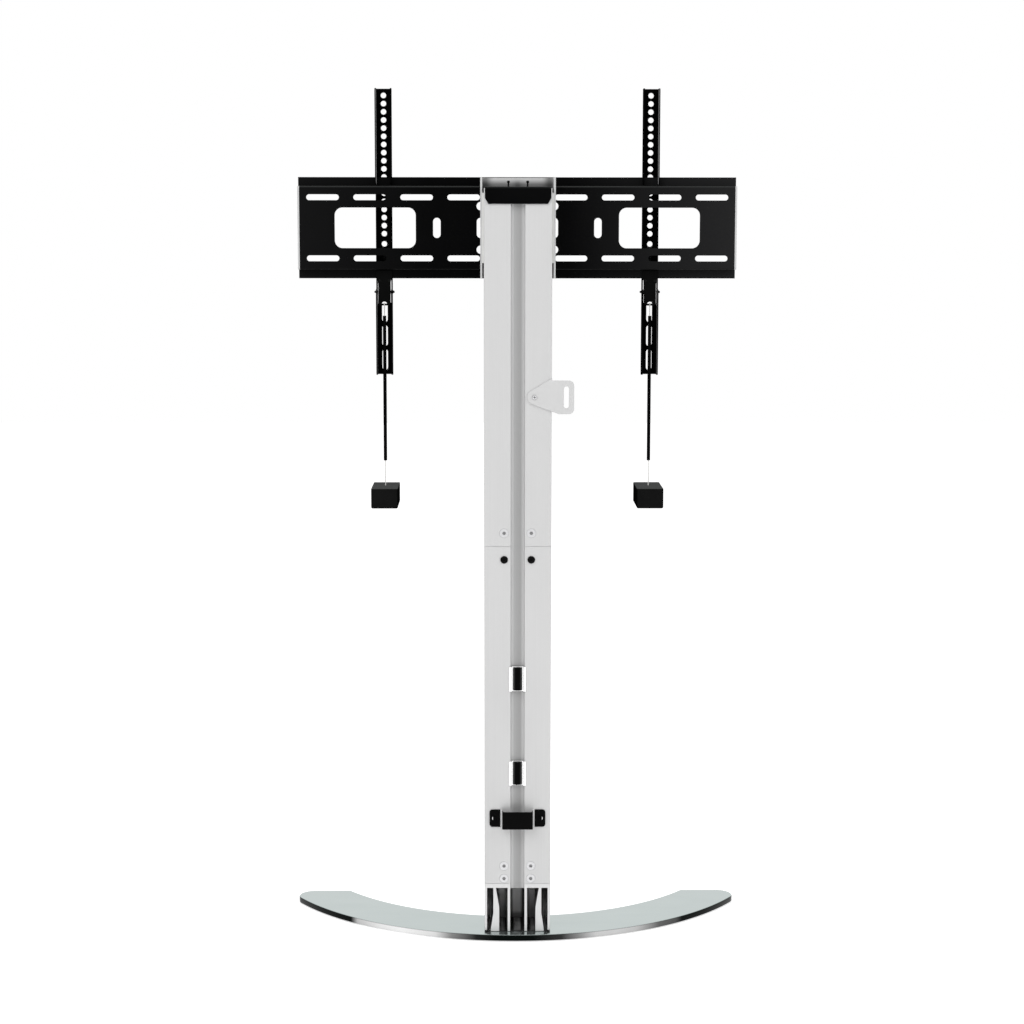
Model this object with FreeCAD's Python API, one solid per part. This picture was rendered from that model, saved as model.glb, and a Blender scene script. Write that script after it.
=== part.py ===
import FreeCAD, Part
import math
import os

os.makedirs("parts", exist_ok=True)

# Floor stand for a television, seen from its rear.
# X runs to the right of someone standing behind it, Y runs towards the screen and Z runs up.
# The origin is on the floor, in the middle of the base's footprint.  All sizes are millimetres.

# Glass base: a crescent, cut square at its two tips
base_depth = 233.9
base_band = 97.0
base_outer_radius = 423.7
base_inner_radius = 347.6
base_tip_radius = 25.0
base_inner_tip_radius = 5.0
glass_thickness = 10.0
glass_bevel = 1.2
pad_height = 2.0
pad_radius = 14.0
pad_end_angle = 50.0
pad_steps = 2

# Foot between the glass and the column
gasket_thickness = 0.6
gasket_inset = 1.0
gasket_lug_offset = 48.9
gasket_lug_radius = 2.3
gasket_lug_height = 2.4
foot_height = 77.4
foot_roof = 7.0
foot_window_side_wall = 4.2
cable_window_drop = 2.6
boss_width = 13.2
boss_inner_rise = 39.0
boss_outer_rise = 29.5
boss_outer_foot = 3.0
tenon_height = 44.0
tenon_clearance = 0.3

# Screws that hold the foot down through the glass
base_screw_offset = 35.2
base_screw_back = 20.0
base_screw_pitch = 36.0
base_screw_radius = 4.0
base_screw_head_radius = 8.0
base_screw_grip = 20.0
bush_wall = 1.0

# Column extrusion
column_set_in = 18.3
column_width = 104.0
column_depth = 72.0
column_back_wall = 4.0
column_wall = 3.5
column_back_corner = 1.5
column_front_corner = 8.0
column_web_offset = 35.9
column_web = 4.0
cable_web_offset = 13.3
cable_web = 4.0
groove_width = 22.0
groove_depth = 8.0
groove_corner = 3.0
groove_floor = 3.0
port_offset = 14.6
port_back = 14.0
port_radius = 2.6
port_bore = 1.3
lower_column_length = 537.5
upper_column_length = 547.5
joint_line_height = 0.8
joint_line_depth = 0.6

# Screws in the rear face of the column
face_screw_offset = 21.0
face_screw_radius = 4.0
face_screw_head_radius = 7.5
face_screw_head_depth = 3.6
face_screw_length = 12.0
face_screw_rim = 0.6
face_screw_rim_depth = 0.4
socket_width = 5.0
socket_depth = 2.2
foot_screw_rise = 8.3
foot_screw_pitch = 20.3
splice_screw_rise = 20.5
splice_button_drop = 20.9
button_radius = 5.9
button_height = 2.4
button_stem_radius = 3.0
splice_length = 95.0
splice_depth = 14.0

# Cable clips pressed into the groove
clip_heights = (268.0, 418.5)
clip_block_width = 14.6
clip_block_height = 36.0
clip_frame_width = 26.6
clip_frame_height = 39.0
clip_rail = 4.6
clip_lip = 1.6
clip_stand = 2.6
clip_grip_depth = 5.0
clip_block_round = 1.5

# Cable bridge low on the column
bridge_height = 196.4
bridge_half_tall = 13.8
bridge_proud = 18.0
bridge_top_half = 23.7
bridge_foot_half = 27.0
bridge_tab_end = 43.7
bridge_sheet = 2.0
bridge_corner = 4.5
bridge_screw_offset = 36.1

# Ear bracket for the strap at the side of the column
ear_screw_offset = 25.5
ear_screw_height = 858.3
ear_end_radius = 11.1
ear_sheet = 2.5
ear_reach = 86.1
ear_height = 51.5
ear_corner = 8.0
ear_fold = 52.5
ear_upper_slope = 31.0
ear_lower_slope = 20.6
ear_slot_offset = 74.25
ear_slot_width = 7.7
ear_slot_length = 33.5

# Small screws with a rounded head
small_head_radius = 3.6
small_head_height = 1.8
small_stem_radius = 1.7
small_stem_length = 9.0
small_slot = 0.8

# Head adapter that embraces the column
adapter_sheet = 3.0
adapter_width = 114.6
adapter_height = 153.0
adapter_back = 8.0
adapter_corner = 3.5
adapter_gap = 2.4
filler_height = 106.0
filler_depth = 50.0

# Hook cap on top of the column
cap_sheet = 2.5
cap_half = 50.2
cap_skirt = 26.1
cap_bend = 4.0
cap_cut_across = 5.0
cap_cut_up = 8.7
cap_screw_rise = 5.2
cap_screw_head_radius = 2.1
cap_screw_head_height = 3.9
cap_screw_round = 1.2
cap_screw_depth = 22.0

# Wall plate: a hat section with slots and two windows
plate_drop = 59.75
plate_half = 340.4
plate_height = 128.5
plate_sheet = 2.5
plate_shelf = 21.5
plate_lip = 13.9
plate_bend = 3.5
plate_slot_length = 50.5
plate_slot_width = 9.0
plate_slot_rise = 46.9
plate_slot_first = 83.3
plate_slot_pitch = 72.7
plate_slot_count = 4
window_inner = 157.5
window_outer = 283.0
window_height = 62.3
window_corner = 12.0
tall_slot_offset = 124.85
tall_slot_near = 57.15
tall_slot_width = 11.7
tall_slot_length = 31.0
plate_hole_offset = 56.9
plate_hole_rise = 33.5
plate_hole_radius = 6.5
end_cap_thickness = 2.8
end_cap_wall = 2.4

# Bolts that clamp plate, adapter and column
head_bolt_offset = 25.0
head_bolt_rise = 31.5
head_bolt_radius = 4.0
head_bolt_clearance = 0.2
head_bolt_head_radius = 7.0
head_bolt_head_height = 4.5
head_bolt_washer_radius = 9.0
head_bolt_washer = 1.6
nut_bar_depth = 12.0
nut_bar_length = 106.0

# Arms that hook over the plate and carry the screen
arm_offset = 207.65
arm_width = 25.6
arm_length = 442.2
arm_rise = 135.6
arm_sheet = 2.0
arm_depth = 24.5
arm_set_off = 29.5
arm_corner = 5.0
arm_bend = 2.0
arm_hole_radius = 4.25
arm_hole_pitch = 12.5
arm_hole_count = 18
arm_hole_first = 10.2
arm_slot_width = 8.8
arm_slot_length = 32.4
arm_slot_pitch = 37.6
arm_slot_end = 6.7
arm_slot_count = 3
arm_window_width = 21.0
arm_window_height = 36.0
arm_window_corner = 2.0
running_gap = 0.3
hook_step = 2.4

# Spring latch inside each arm
latch_sheet = 2.5
latch_cover = 12.0
latch_tab_half = 12.5
latch_tab_corner = 1.5
latch_tab_under = 0.6
latch_shoulder_half = 10.4
latch_shoulder_drop = 7.2
latch_shoulder_corner = 3.0
latch_body_half = 9.7
latch_tail_corner = 5.0
latch_tail_drop = 42.2
latch_cheek_depth = 9.8
latch_travel = 13.0
latch_ring_half = 4.25
latch_ring_height = 3.0
latch_bar = 3.0
latch_tongue_half = 5.0
latch_tongue_height = 17.0
latch_wall = 2.0
latch_pin_drop = 21.1
latch_pin_set = 6.3
latch_pin_radius = 1.7
latch_pin_fit = 0.1
latch_pin_head_radius = 2.5
latch_pin_head = 3.0
latch_ring_radius = 2.7
latch_ring_thickness = 1.2
latch_pin_tail = 3.0
latch_rivet_radius = 2.2
latch_rivet_offset = 7.0
latch_rivet_drop = 3.9
latch_rivet_height = 1.6
anchor_half = 3.0
anchor_thickness = 2.0
anchor_rise = 33.2

# Coil spring that pulls the latch up
spring_radius = 2.2
spring_wire = 0.45
spring_turns = 9

# Pull cord with its sleeve and grip
string_radius = 0.7
string_bore_gap = 0.3
sleeve_radius = 2.7
sleeve_drop = 16.0
sleeve_length = 227.4
string_length = 305.0
grip_width = 41.7
grip_height = 31.4
grip_depth = 89.0
grip_corner = 2.2
grip_top_corner = 1.0
grip_bottom_corner = 2.5
grip_drop = 283.4
knot_radius = 3.2
knot_recess_gap = 0.4

# Heights and planes that follow from the sizes above
glass_bottom = pad_height
glass_top = glass_bottom + glass_thickness
foot_bottom = glass_top + gasket_thickness
foot_top = foot_bottom + foot_height
joint_height = foot_top + lower_column_length
column_top = joint_height + upper_column_length
column_back = -base_depth / 2 + column_set_in
column_front = column_back + column_depth
adapter_front = column_front + adapter_sheet
wall_back = adapter_front
wall_front = wall_back + plate_sheet
lip_front = wall_back + plate_shelf
lip_back = lip_front - plate_sheet
plate_centre = column_top - plate_drop
plate_top = plate_centre + plate_height / 2
plate_base = plate_centre - plate_height / 2
lip_top = plate_top + plate_lip
lip_base = plate_base - plate_lip
arm_back = wall_back + arm_set_off - arm_depth + arm_sheet
arm_web_front = wall_back + arm_set_off + arm_sheet
arm_web_back = wall_back + arm_set_off
arm_top = lip_top + arm_rise
arm_bottom = arm_top - arm_length
latch_front = lip_back - running_gap
latch_back = latch_front - latch_sheet
latch_middle = (latch_front + latch_back) / 2
pin_height = lip_base - latch_pin_drop
pin_y = latch_back + latch_pin_set
tail_bottom = lip_base - latch_tail_drop
anchor_height = plate_base + anchor_rise + anchor_thickness


def point(x, y, z):
    """A point of the stand."""
    return FreeCAD.Vector(x, y, z)


def block(x0, x1, y0, y1, z0, z1):
    """A plain block between two corners."""
    return Part.makeBox(x1 - x0, y1 - y0, z1 - z0, point(x0, y0, z0))


def rod(start, radius, length, along):
    """A round bar from its start, along one axis."""
    return Part.makeCylinder(radius, length, start, along)


def cone(start, radius, end_radius, length, along):
    """A tapered round bar from its start, along one axis."""
    return Part.makeCone(radius, end_radius, length, start, along)


TO_SCREEN = point(0, 1, 0)
UP = point(0, 0, 1)
RIGHT = point(1, 0, 0)


def join(shapes):
    """Fuse overlapping shapes of one piece and merge their faces."""
    first = shapes[0]
    return first.fuse(shapes[1:]).removeSplitter() if len(shapes) > 1 else first


def edges_along(shape, axis, choose):
    """Straight edges that run along an axis and whose middle passes the test."""
    found = []
    for edge in shape.Edges:
        if not isinstance(edge.Curve, Part.Line):
            continue
        if abs(edge.Curve.Direction.dot(axis)) < 0.999:
            continue
        if choose(edge.CenterOfMass):
            found.append(edge)
    return found


def rounded(shape, radius, axis, choose=lambda middle: True):
    """Round the chosen straight edges."""
    return shape.makeFillet(radius, edges_along(shape, axis, choose))


def slot_cut(x, z, half_x, half_z, y0, y1):
    """A cutter with round ends through a sheet that faces Y."""
    radius = min(half_x, half_z)
    body = block(x - half_x, x + half_x, y0, y1, z - half_z, z + half_z)
    return rounded(body, radius * 0.999, TO_SCREEN)


def outline_prism(outline, along):
    """A straight prism over a closed outline of points."""
    wire = Part.makePolygon(outline + [outline[0]])
    return Part.Face(wire).extrude(along)


def base_glass_arcs():
    """Centre heights along Y of the outer and inner arcs of the crescent."""
    near = -base_depth / 2
    return near + base_outer_radius, near + base_band + base_inner_radius


def base_screw_places():
    """Where the four screws come up through the glass."""
    rows = (column_back + base_screw_back, column_back + base_screw_back + base_screw_pitch)
    return [(side * base_screw_offset, y) for side in (-1, 1) for y in rows]


def bush_cone(radius, start):
    """The countersunk shape of a base screw or its bush, flush with the glass underside."""
    depth = radius - base_screw_radius
    return cone(start, radius, base_screw_radius, depth, UP)


def glass_base():
    """Crescent of thick glass with rounded tips, polished bevels and four countersunk holes."""
    outer_y, inner_y = base_glass_arcs()
    tip = base_depth / 2
    body = rod(point(0, outer_y, glass_bottom), base_outer_radius, glass_thickness, UP)
    reach = 2 * base_outer_radius
    keep = block(-reach, reach, -reach, tip, glass_bottom, glass_top)
    body = body.common(keep)
    body = body.cut(rod(point(0, inner_y, glass_bottom), base_inner_radius, glass_thickness, UP))
    inner_tip = math.sqrt(base_inner_radius ** 2 - (inner_y - tip) ** 2)
    outer_tip = math.sqrt(base_outer_radius ** 2 - (outer_y - tip) ** 2)
    middle = (inner_tip + outer_tip) / 2
    body = rounded(body, base_tip_radius, UP, lambda m: abs(m.x) > middle)
    body = rounded(body, base_inner_tip_radius, UP, lambda m: inner_tip - 1 < abs(m.x) < middle
                   and m.y > tip - 1)
    rim = [e for e in body.Edges if abs(e.BoundBox.ZLength) < 0.01]
    body = body.makeChamfer(glass_bevel, rim)
    for x, y in base_screw_places():
        radius = base_screw_radius + bush_wall
        body = body.cut(rod(point(x, y, glass_bottom), radius, glass_thickness, UP))
        wide = base_screw_head_radius + bush_wall
        body = body.cut(cone(point(x, y, glass_bottom), wide, radius, wide - radius, UP))
    return body


def base_pads():
    """Clear round pads under the glass, spaced along the middle of the band."""
    outer_y, inner_y = base_glass_arcs()
    centre = (outer_y + inner_y) / 2
    radius = (base_outer_radius + base_inner_radius) / 2
    pads = []
    for step in range(-pad_steps, pad_steps + 1):
        angle = math.radians(pad_end_angle * step / pad_steps)
        place = point(radius * math.sin(angle), centre - radius * math.cos(angle), 0)
        pads.append(rod(place, pad_radius, pad_height, UP))
    return pads


def base_bushes():
    """Nylon bushes that keep the screws off the glass."""
    bushes = []
    for x, y in base_screw_places():
        start = point(x, y, glass_bottom)
        radius = base_screw_radius + bush_wall
        wide = base_screw_head_radius + bush_wall
        body = join([rod(start, radius, glass_thickness, UP), cone(start, wide, radius, wide - radius, UP)])
        body = body.cut(rod(start, base_screw_radius, glass_thickness, UP))
        bushes.append(body.cut(bush_cone(base_screw_head_radius, start)))
    return bushes


def base_screws():
    """Countersunk screws from below, flush with the glass, up into the bosses of the foot."""
    screws = []
    for x, y in base_screw_places():
        start = point(x, y, glass_bottom)
        length = foot_bottom - glass_bottom + base_screw_grip
        body = join([bush_cone(base_screw_head_radius, start), rod(start, base_screw_radius, length, UP)])
        screws.append(body.cut(hex_socket(start, UP)))
    return screws


def hex_socket(start, along):
    """Hexagonal key socket, cut inwards from the middle of a screw head."""
    across = socket_width / math.sqrt(3)
    side_a = RIGHT
    side_b = UP if abs(along.z) < 0.5 else TO_SCREEN
    corners = []
    for step in range(6):
        angle = math.radians(60 * step)
        corners.append(start + side_a * (across * math.cos(angle)) + side_b * (across * math.sin(angle)))
    return outline_prism(corners, along * socket_depth)


def foot_gasket():
    """Thin rubber sheet between the foot and the glass, with two lugs behind the foot's corners."""
    half = column_width / 2 - gasket_inset
    body = block(-half, half, column_back + gasket_inset, column_front - gasket_inset,
                 glass_top, foot_bottom)
    for x, y in base_screw_places():
        body = body.cut(rod(point(x, y, glass_top), base_screw_radius + bush_wall, gasket_thickness, UP))
    lugs = []
    for side in (-1, 1):
        place = point(side * gasket_lug_offset, column_back - gasket_inset, glass_top)
        lugs.append(rod(place, gasket_lug_radius, gasket_lug_height, UP))
    above = block(-half, half, column_back, column_front, foot_bottom, foot_top)
    return join([body] + [lug.cut(above) for lug in lugs])


def column_section(z0, z1, cell_top):
    """Stretch of the extruded profile: outer skin, cable groove, five cells and two screw ports."""
    half = column_width / 2
    middle = (column_back + column_front) / 2
    body = block(-half, half, column_back, column_front, z0, z1)
    body = rounded(body, column_front_corner, UP, lambda m: m.y > middle)
    body = rounded(body, column_back_corner, UP, lambda m: m.y < middle)
    far = column_front - column_wall
    near = column_back + column_back_wall
    web_in = column_web_offset - column_web / 2
    web_out = column_web_offset + column_web / 2
    cable_in = cable_web_offset - cable_web / 2
    cable_out = cable_web_offset + cable_web / 2
    cuts = [block(-cable_in, cable_in, column_back + groove_depth + groove_floor, far, z0, cell_top)]
    for side in (-1, 1):
        cuts.append(side_block(side, cable_out, web_in, near, far, z0, cell_top))
        cuts.append(side_block(side, web_out, half - column_wall, near, far, z0, cell_top))
    body = body.cut(cuts)
    groove = block(-groove_width / 2, groove_width / 2, column_back - 1, column_back + groove_depth, z0, z1)
    groove = rounded(groove, groove_corner, UP, lambda m: m.y > column_back)
    ports = [rod(point(side * port_offset, column_back + port_back, z0), port_radius, z1 - z0, UP)
             for side in (-1, 1)]
    body = join([body] + ports).cut(groove)
    bores = [rod(point(side * port_offset, column_back + port_back, z0), port_bore, z1 - z0, UP)
             for side in (-1, 1)]
    return body.cut(bores)


def side_block(side, near_x, far_x, y0, y1, z0, z1):
    """A block given by its distances from the middle plane, on one side of it."""
    low, high = sorted((side * near_x, side * far_x))
    return block(low, high, y0, y1, z0, z1)


def joint_line(height):
    """Cutters for the fine line round the rear and the sides where two lengths meet."""
    half = column_width / 2
    low = height - joint_line_height / 2
    high = height + joint_line_height / 2
    cuts = [block(-half, half, column_back - 1, column_back + joint_line_depth, low, high)]
    for side in (-1, 1):
        cuts.append(side_block(side, half - joint_line_depth, half + 1, column_back, column_front,
                               low, high))
    return cuts


def cell_bar(side, y0, y1, z0, z1):
    """A bar that slides into the cell behind the column's rear screws."""
    near_x = cable_web_offset + cable_web / 2 + tenon_clearance
    far_x = column_web_offset - column_web / 2 - tenon_clearance
    bar = side_block(side, near_x, far_x, y0, y1, z0, z1)
    hollow = rod(point(side * port_offset, column_back + port_back, z0), port_radius + tenon_clearance,
                 z1 - z0, UP)
    return bar.cut(hollow)


def foot_screw_heights():
    """Heights of the two screws on each side that hold the column on the foot."""
    return [foot_top + foot_screw_rise + step * foot_screw_pitch for step in (0, 1)]


def face_hole(x, z):
    """Countersunk hole through the column's rear wall."""
    start = point(x, column_back, z)
    seat = cone(start, face_screw_head_radius, face_screw_radius, face_screw_head_depth, TO_SCREEN)
    return join([seat, rod(start, face_screw_radius, column_back_wall, TO_SCREEN)])


def face_screw(x, z):
    """Bright countersunk screw with a stepped rim, flush with the column's rear face."""
    start = point(x, column_back, z)
    head = cone(start, face_screw_head_radius, face_screw_radius, face_screw_head_depth, TO_SCREEN)
    body = join([head, rod(start, face_screw_radius, face_screw_length, TO_SCREEN)])
    rim = rod(start, face_screw_head_radius, face_screw_rim_depth, TO_SCREEN)
    rim = rim.cut(rod(start, face_screw_head_radius - face_screw_rim, face_screw_rim_depth, TO_SCREEN))
    return body.cut([rim, hex_socket(start, TO_SCREEN)])


def foot_section():
    """Foot casting: the column's profile with its cells open to the rear between the webs, screw
    bosses that swell from two of them, a closed roof and two tenons that enter the column."""
    roof = foot_top - foot_roof
    body = column_section(foot_bottom, foot_top, roof)
    half = column_width / 2 - foot_window_side_wall
    cable_in = cable_web_offset - cable_web / 2
    cable_out = cable_web_offset + cable_web / 2
    web_in = column_web_offset - column_web / 2
    web_out = column_web_offset + column_web / 2
    rear = column_back - 1
    depth = column_back + groove_depth + groove_floor
    windows = [block(-cable_in, cable_in, rear, depth, foot_bottom, roof - cable_window_drop)]
    for side in (-1, 1):
        windows.append(side_block(side, cable_out, web_in, rear, depth, foot_bottom, roof))
        windows.append(side_block(side, web_out, half, rear, depth, foot_bottom, roof))
    body = body.cut(windows)
    bosses = []
    for side in (-1, 1):
        bosses.append(screw_boss(side, column_back, column_front - column_wall))
        bosses.append(cell_bar(side, column_back + column_back_wall, column_front - column_wall
                               - tenon_clearance, foot_top - 1, foot_top + tenon_height))
    body = join([body] + bosses)
    for x, y in base_screw_places():
        body = body.cut(rod(point(x, y, foot_bottom), base_screw_radius, base_screw_grip, UP))
    for height in foot_screw_heights():
        for side in (-1, 1):
            start = point(side * face_screw_offset, column_back + column_back_wall, height)
            length = face_screw_length - column_back_wall
            body = body.cut(rod(start, face_screw_radius, length, TO_SCREEN))
    return body.cut(joint_line(foot_top))


def screw_boss(side, y0, y1):
    """Web that swells into a screw boss: its inner flank under the roof, its outer one lower down."""
    inner = base_screw_offset - boss_width / 2
    outer = base_screw_offset + boss_width / 2
    web_in = column_web_offset - column_web / 2
    web_out = column_web_offset + column_web / 2
    roof = foot_top - foot_roof
    outline = [point(side * inner, y0, foot_bottom),
               point(side * outer, y0, foot_bottom),
               point(side * outer, y0, foot_bottom + boss_outer_foot),
               point(side * web_out, y0, foot_bottom + boss_outer_rise),
               point(side * web_out, y0, roof),
               point(side * web_in, y0, roof),
               point(side * inner, y0, foot_bottom + boss_inner_rise)]
    return outline_prism(outline, TO_SCREEN * (y1 - y0))


def lower_column():
    """Lower length of the column, with its screw holes and the holes for the cable clips."""
    body = column_section(foot_top, joint_height, joint_height)
    cuts = [face_hole(side * face_screw_offset, height)
            for side in (-1, 1) for height in foot_screw_heights()]
    for side in (-1, 1):
        start = point(side * face_screw_offset, column_back, joint_height - splice_button_drop)
        cuts.append(rod(start, button_stem_radius, column_back_wall, TO_SCREEN))
        cuts.append(small_bore(side * bridge_screw_offset, bridge_height,
                               small_stem_length - bridge_sheet))
    return body.cut(cuts + joint_line(foot_top) + joint_line(joint_height))


def upper_column():
    """Upper length of the column, with its screw holes and the bolt holes at the head."""
    body = column_section(joint_height, column_top, column_top)
    cuts = [face_hole(side * face_screw_offset, joint_height + splice_screw_rise) for side in (-1, 1)]
    cuts.append(small_bore(ear_screw_offset, ear_screw_height, small_stem_length - ear_sheet))
    for x, z in head_bolt_places():
        start = point(x, column_front - column_wall, z)
        cuts.append(rod(start, head_bolt_radius + head_bolt_clearance, column_wall, TO_SCREEN))
    return body.cut(cuts + joint_line(joint_height))


def small_bore(x, z, depth):
    """Tapped bore for a small screw in the column's rear face."""
    return rod(point(x, column_back, z), small_stem_radius, depth, TO_SCREEN)


def column_splice():
    """Two bars inside the cells that join the lengths of the column."""
    bars = []
    back = column_back + column_back_wall
    for side in (-1, 1):
        low = joint_height - splice_length / 2
        bar = cell_bar(side, back, back + splice_depth, low, low + splice_length)
        depth = face_screw_length - column_back_wall
        start = point(side * face_screw_offset, back, joint_height + splice_screw_rise)
        bar = bar.cut(rod(start, face_screw_radius, depth, TO_SCREEN))
        start = point(side * face_screw_offset, back, joint_height - splice_button_drop)
        bars.append(bar.cut(rod(start, button_stem_radius, depth, TO_SCREEN)))
    return bars


def splice_buttons():
    """Dark button-head screws just below the joint."""
    screws = []
    for side in (-1, 1):
        start = point(side * face_screw_offset, column_back, joint_height - splice_button_drop)
        head = rod(start, button_radius, button_height, -TO_SCREEN)
        rim = [e for e in head.Edges if abs(e.BoundBox.YMin - (column_back - button_height)) < 0.01
               and e.BoundBox.YLength < 0.01]
        head = head.makeFillet(button_height * 0.7, rim)
        body = join([head, rod(start, button_stem_radius, face_screw_length, TO_SCREEN)])
        screws.append(body.cut(hex_socket(start - TO_SCREEN * button_height, TO_SCREEN)))
    return screws


def clip_rails(height):
    """Bright spring frame of a cable clip: two rails on the groove's edges and a floor between."""
    half = clip_frame_width / 2
    low = height - clip_frame_height / 2
    high = height + clip_frame_height / 2
    groove = groove_width / 2
    floor = column_back + clip_grip_depth
    pieces = [block(-groove, groove, floor - clip_lip, floor, low, high)]
    for side in (-1, 1):
        pieces.append(side_block(side, half - clip_rail, half, column_back - clip_lip, column_back,
                                 low, high))
        pieces.append(side_block(side, groove - clip_lip, groove, column_back - clip_lip, floor,
                                 low, high))
    body = join(pieces)
    return rounded(body, clip_lip * 0.8, UP, lambda m: m.y < column_back - clip_lip / 2)


def clip_block(height):
    """Dark crowned cover of a cable clip, between the rails."""
    half = clip_block_width / 2
    low = height - clip_block_height / 2
    floor = column_back + clip_grip_depth - clip_lip
    crown = point(0, column_back - clip_stand, low)
    left = point(-half, column_back, low)
    right = point(half, column_back, low)
    edges = [Part.Arc(left, crown, right).toShape(),
             Part.makeLine(right, point(half, floor, low)),
             Part.makeLine(point(half, floor, low), point(-half, floor, low)),
             Part.makeLine(point(-half, floor, low), left)]
    body = Part.Face(Part.Wire(edges)).extrude(UP * clip_block_height)
    ends = [e for e in body.Edges if isinstance(e.Curve, Part.Circle)]
    return body.makeFillet(clip_block_round, ends)


def cable_bridge():
    """Hat-shaped strap, open up and down, that holds cables against the column."""
    inner_shift = bridge_sheet / math.cos(math.atan2(bridge_foot_half - bridge_top_half, bridge_proud))
    low = bridge_height - bridge_half_tall
    back = column_back
    proud = column_back - bridge_proud
    outer = [(bridge_tab_end, back), (bridge_tab_end, back - bridge_sheet),
             (bridge_foot_half, back - bridge_sheet), (bridge_top_half, proud)]
    inner = [(bridge_top_half - inner_shift, proud + bridge_sheet), (bridge_foot_half - inner_shift, back)]
    ring = [point(x, y, low) for x, y in outer]
    ring += [point(-x, y, low) for x, y in reversed(outer)]
    ring += [point(-x, y, low) for x, y in reversed(inner)]
    ring += [point(x, y, low) for x, y in inner]
    body = outline_prism(ring, UP * (2 * bridge_half_tall))
    top = edges_along(body, UP, lambda m: m.y < proud + 0.1)
    body = body.makeFillet(bridge_sheet * 1.4, top)
    body = rounded(body, bridge_corner, TO_SCREEN, lambda m: abs(m.x) > bridge_tab_end - 0.1)
    for side in (-1, 1):
        start = point(side * bridge_screw_offset, back - bridge_sheet, bridge_height)
        body = body.cut(rod(start, small_stem_radius, bridge_sheet, TO_SCREEN))
    return body


def small_screw(x, surface_y, z, length):
    """Screw with a low rounded head that bears on a rear-facing surface."""
    start = point(x, surface_y, z)
    head = rod(start, small_head_radius, small_head_height, -TO_SCREEN)
    rim = [e for e in head.Edges if e.BoundBox.YLength < 0.01
           and abs(e.BoundBox.YMin - (surface_y - small_head_height)) < 0.01]
    head = head.makeFillet(small_head_height * 0.7, rim)
    reach = small_head_radius * 0.6
    slot = block(x - reach, x + reach, surface_y - small_head_height, surface_y - small_head_height * 0.5,
                 z - small_slot / 2, z + small_slot / 2)
    cross = slot.copy()
    cross.rotate(start, TO_SCREEN, 90)
    return join([head, rod(start, small_stem_radius, length, TO_SCREEN)]).cut([slot, cross])


def ear_bracket():
    """Flat bracket: a round nose at the screw widens into a slotted tab beside the column."""
    y0 = column_back - ear_sheet
    low = ear_screw_height - ear_height / 2
    high = low + ear_height
    nose = rod(point(ear_screw_offset, y0, ear_screw_height), ear_end_radius, ear_sheet, TO_SCREEN)
    rise = math.radians(ear_upper_slope)
    fall = math.radians(ear_lower_slope)
    top = point(ear_screw_offset - ear_end_radius * math.sin(rise), y0,
                ear_screw_height + ear_end_radius * math.cos(rise))
    bottom = point(ear_screw_offset - ear_end_radius * math.sin(fall), y0,
                   ear_screw_height - ear_end_radius * math.cos(fall))
    peak = top.z + (ear_fold - top.x) * math.tan(rise)
    heel = bottom.x + (bottom.z - low) / math.tan(fall)
    lap = heel + ear_sheet
    fan = outline_prism([top, point(ear_fold, y0, peak), point(ear_fold, y0, high), point(lap, y0, high),
                         point(lap, y0, low), point(heel, y0, low), bottom], TO_SCREEN * ear_sheet)
    tab = block(heel, ear_reach, y0, column_back, low, high)
    tab = rounded(tab, ear_corner, TO_SCREEN, lambda m: m.x > ear_reach - 0.1)
    body = join([nose, fan, tab])
    body = body.cut(slot_cut(ear_slot_offset, ear_screw_height, ear_slot_width / 2, ear_slot_length / 2,
                             y0, column_back))
    return body.cut(rod(point(ear_screw_offset, y0, ear_screw_height), small_stem_radius, ear_sheet,
                        TO_SCREEN))


def head_bolt_places():
    """Where the four bolts pass through plate, adapter and column."""
    return [(x, plate_centre + z) for x in (-head_bolt_offset, head_bolt_offset)
            for z in (-head_bolt_rise, head_bolt_rise)]


def head_adapter():
    """Bent channel that embraces the column and carries the wall plate."""
    half = adapter_width / 2
    low = plate_centre - adapter_height / 2
    high = low + adapter_height
    body = block(-half, half, column_back + adapter_back, adapter_front, low, high)
    body = rounded(body, adapter_corner, UP, lambda m: m.y > adapter_front - 0.1)
    inner = column_width / 2 + adapter_gap
    body = body.cut(block(-inner, inner, column_back, column_front, low, high))
    for x, z in head_bolt_places():
        radius = head_bolt_radius + head_bolt_clearance
        body = body.cut(rod(point(x, column_front, z), radius, adapter_sheet, TO_SCREEN))
    return body


def adapter_fillers():
    """Pale spacer strips between the column's sides and the adapter."""
    strips = []
    for side in (-1, 1):
        start = column_back + adapter_back
        strips.append(side_block(side, column_width / 2, column_width / 2 + adapter_gap, start,
                                 start + filler_depth, plate_centre - filler_height / 2,
                                 plate_centre + filler_height / 2))
    return strips


def hook_cap():
    """Dark cap bent over the column's top, with a skirt down its rear face."""
    top = column_top + cap_sheet
    low = top - cap_skirt
    back = column_back - cap_sheet
    profile = [point(-cap_half, back, low), point(-cap_half, back, top),
               point(-cap_half, column_front, top), point(-cap_half, column_front, column_top),
               point(-cap_half, column_back, column_top), point(-cap_half, column_back, low)]
    body = outline_prism(profile, RIGHT * (2 * cap_half))
    body = rounded(body, cap_bend, RIGHT, lambda m: m.y < back + 0.1 and m.z > top - 0.1)
    for side in (-1, 1):
        corner = [point(side * cap_half, back, low), point(side * (cap_half - cap_cut_across), back, low),
                  point(side * cap_half, back, low + cap_cut_up)]
        body = body.cut(outline_prism(corner, TO_SCREEN * cap_sheet))
        place = point(side * port_offset, column_back + port_back, column_top)
        body = body.cut(rod(place, port_bore, cap_sheet, UP))
    return body


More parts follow.
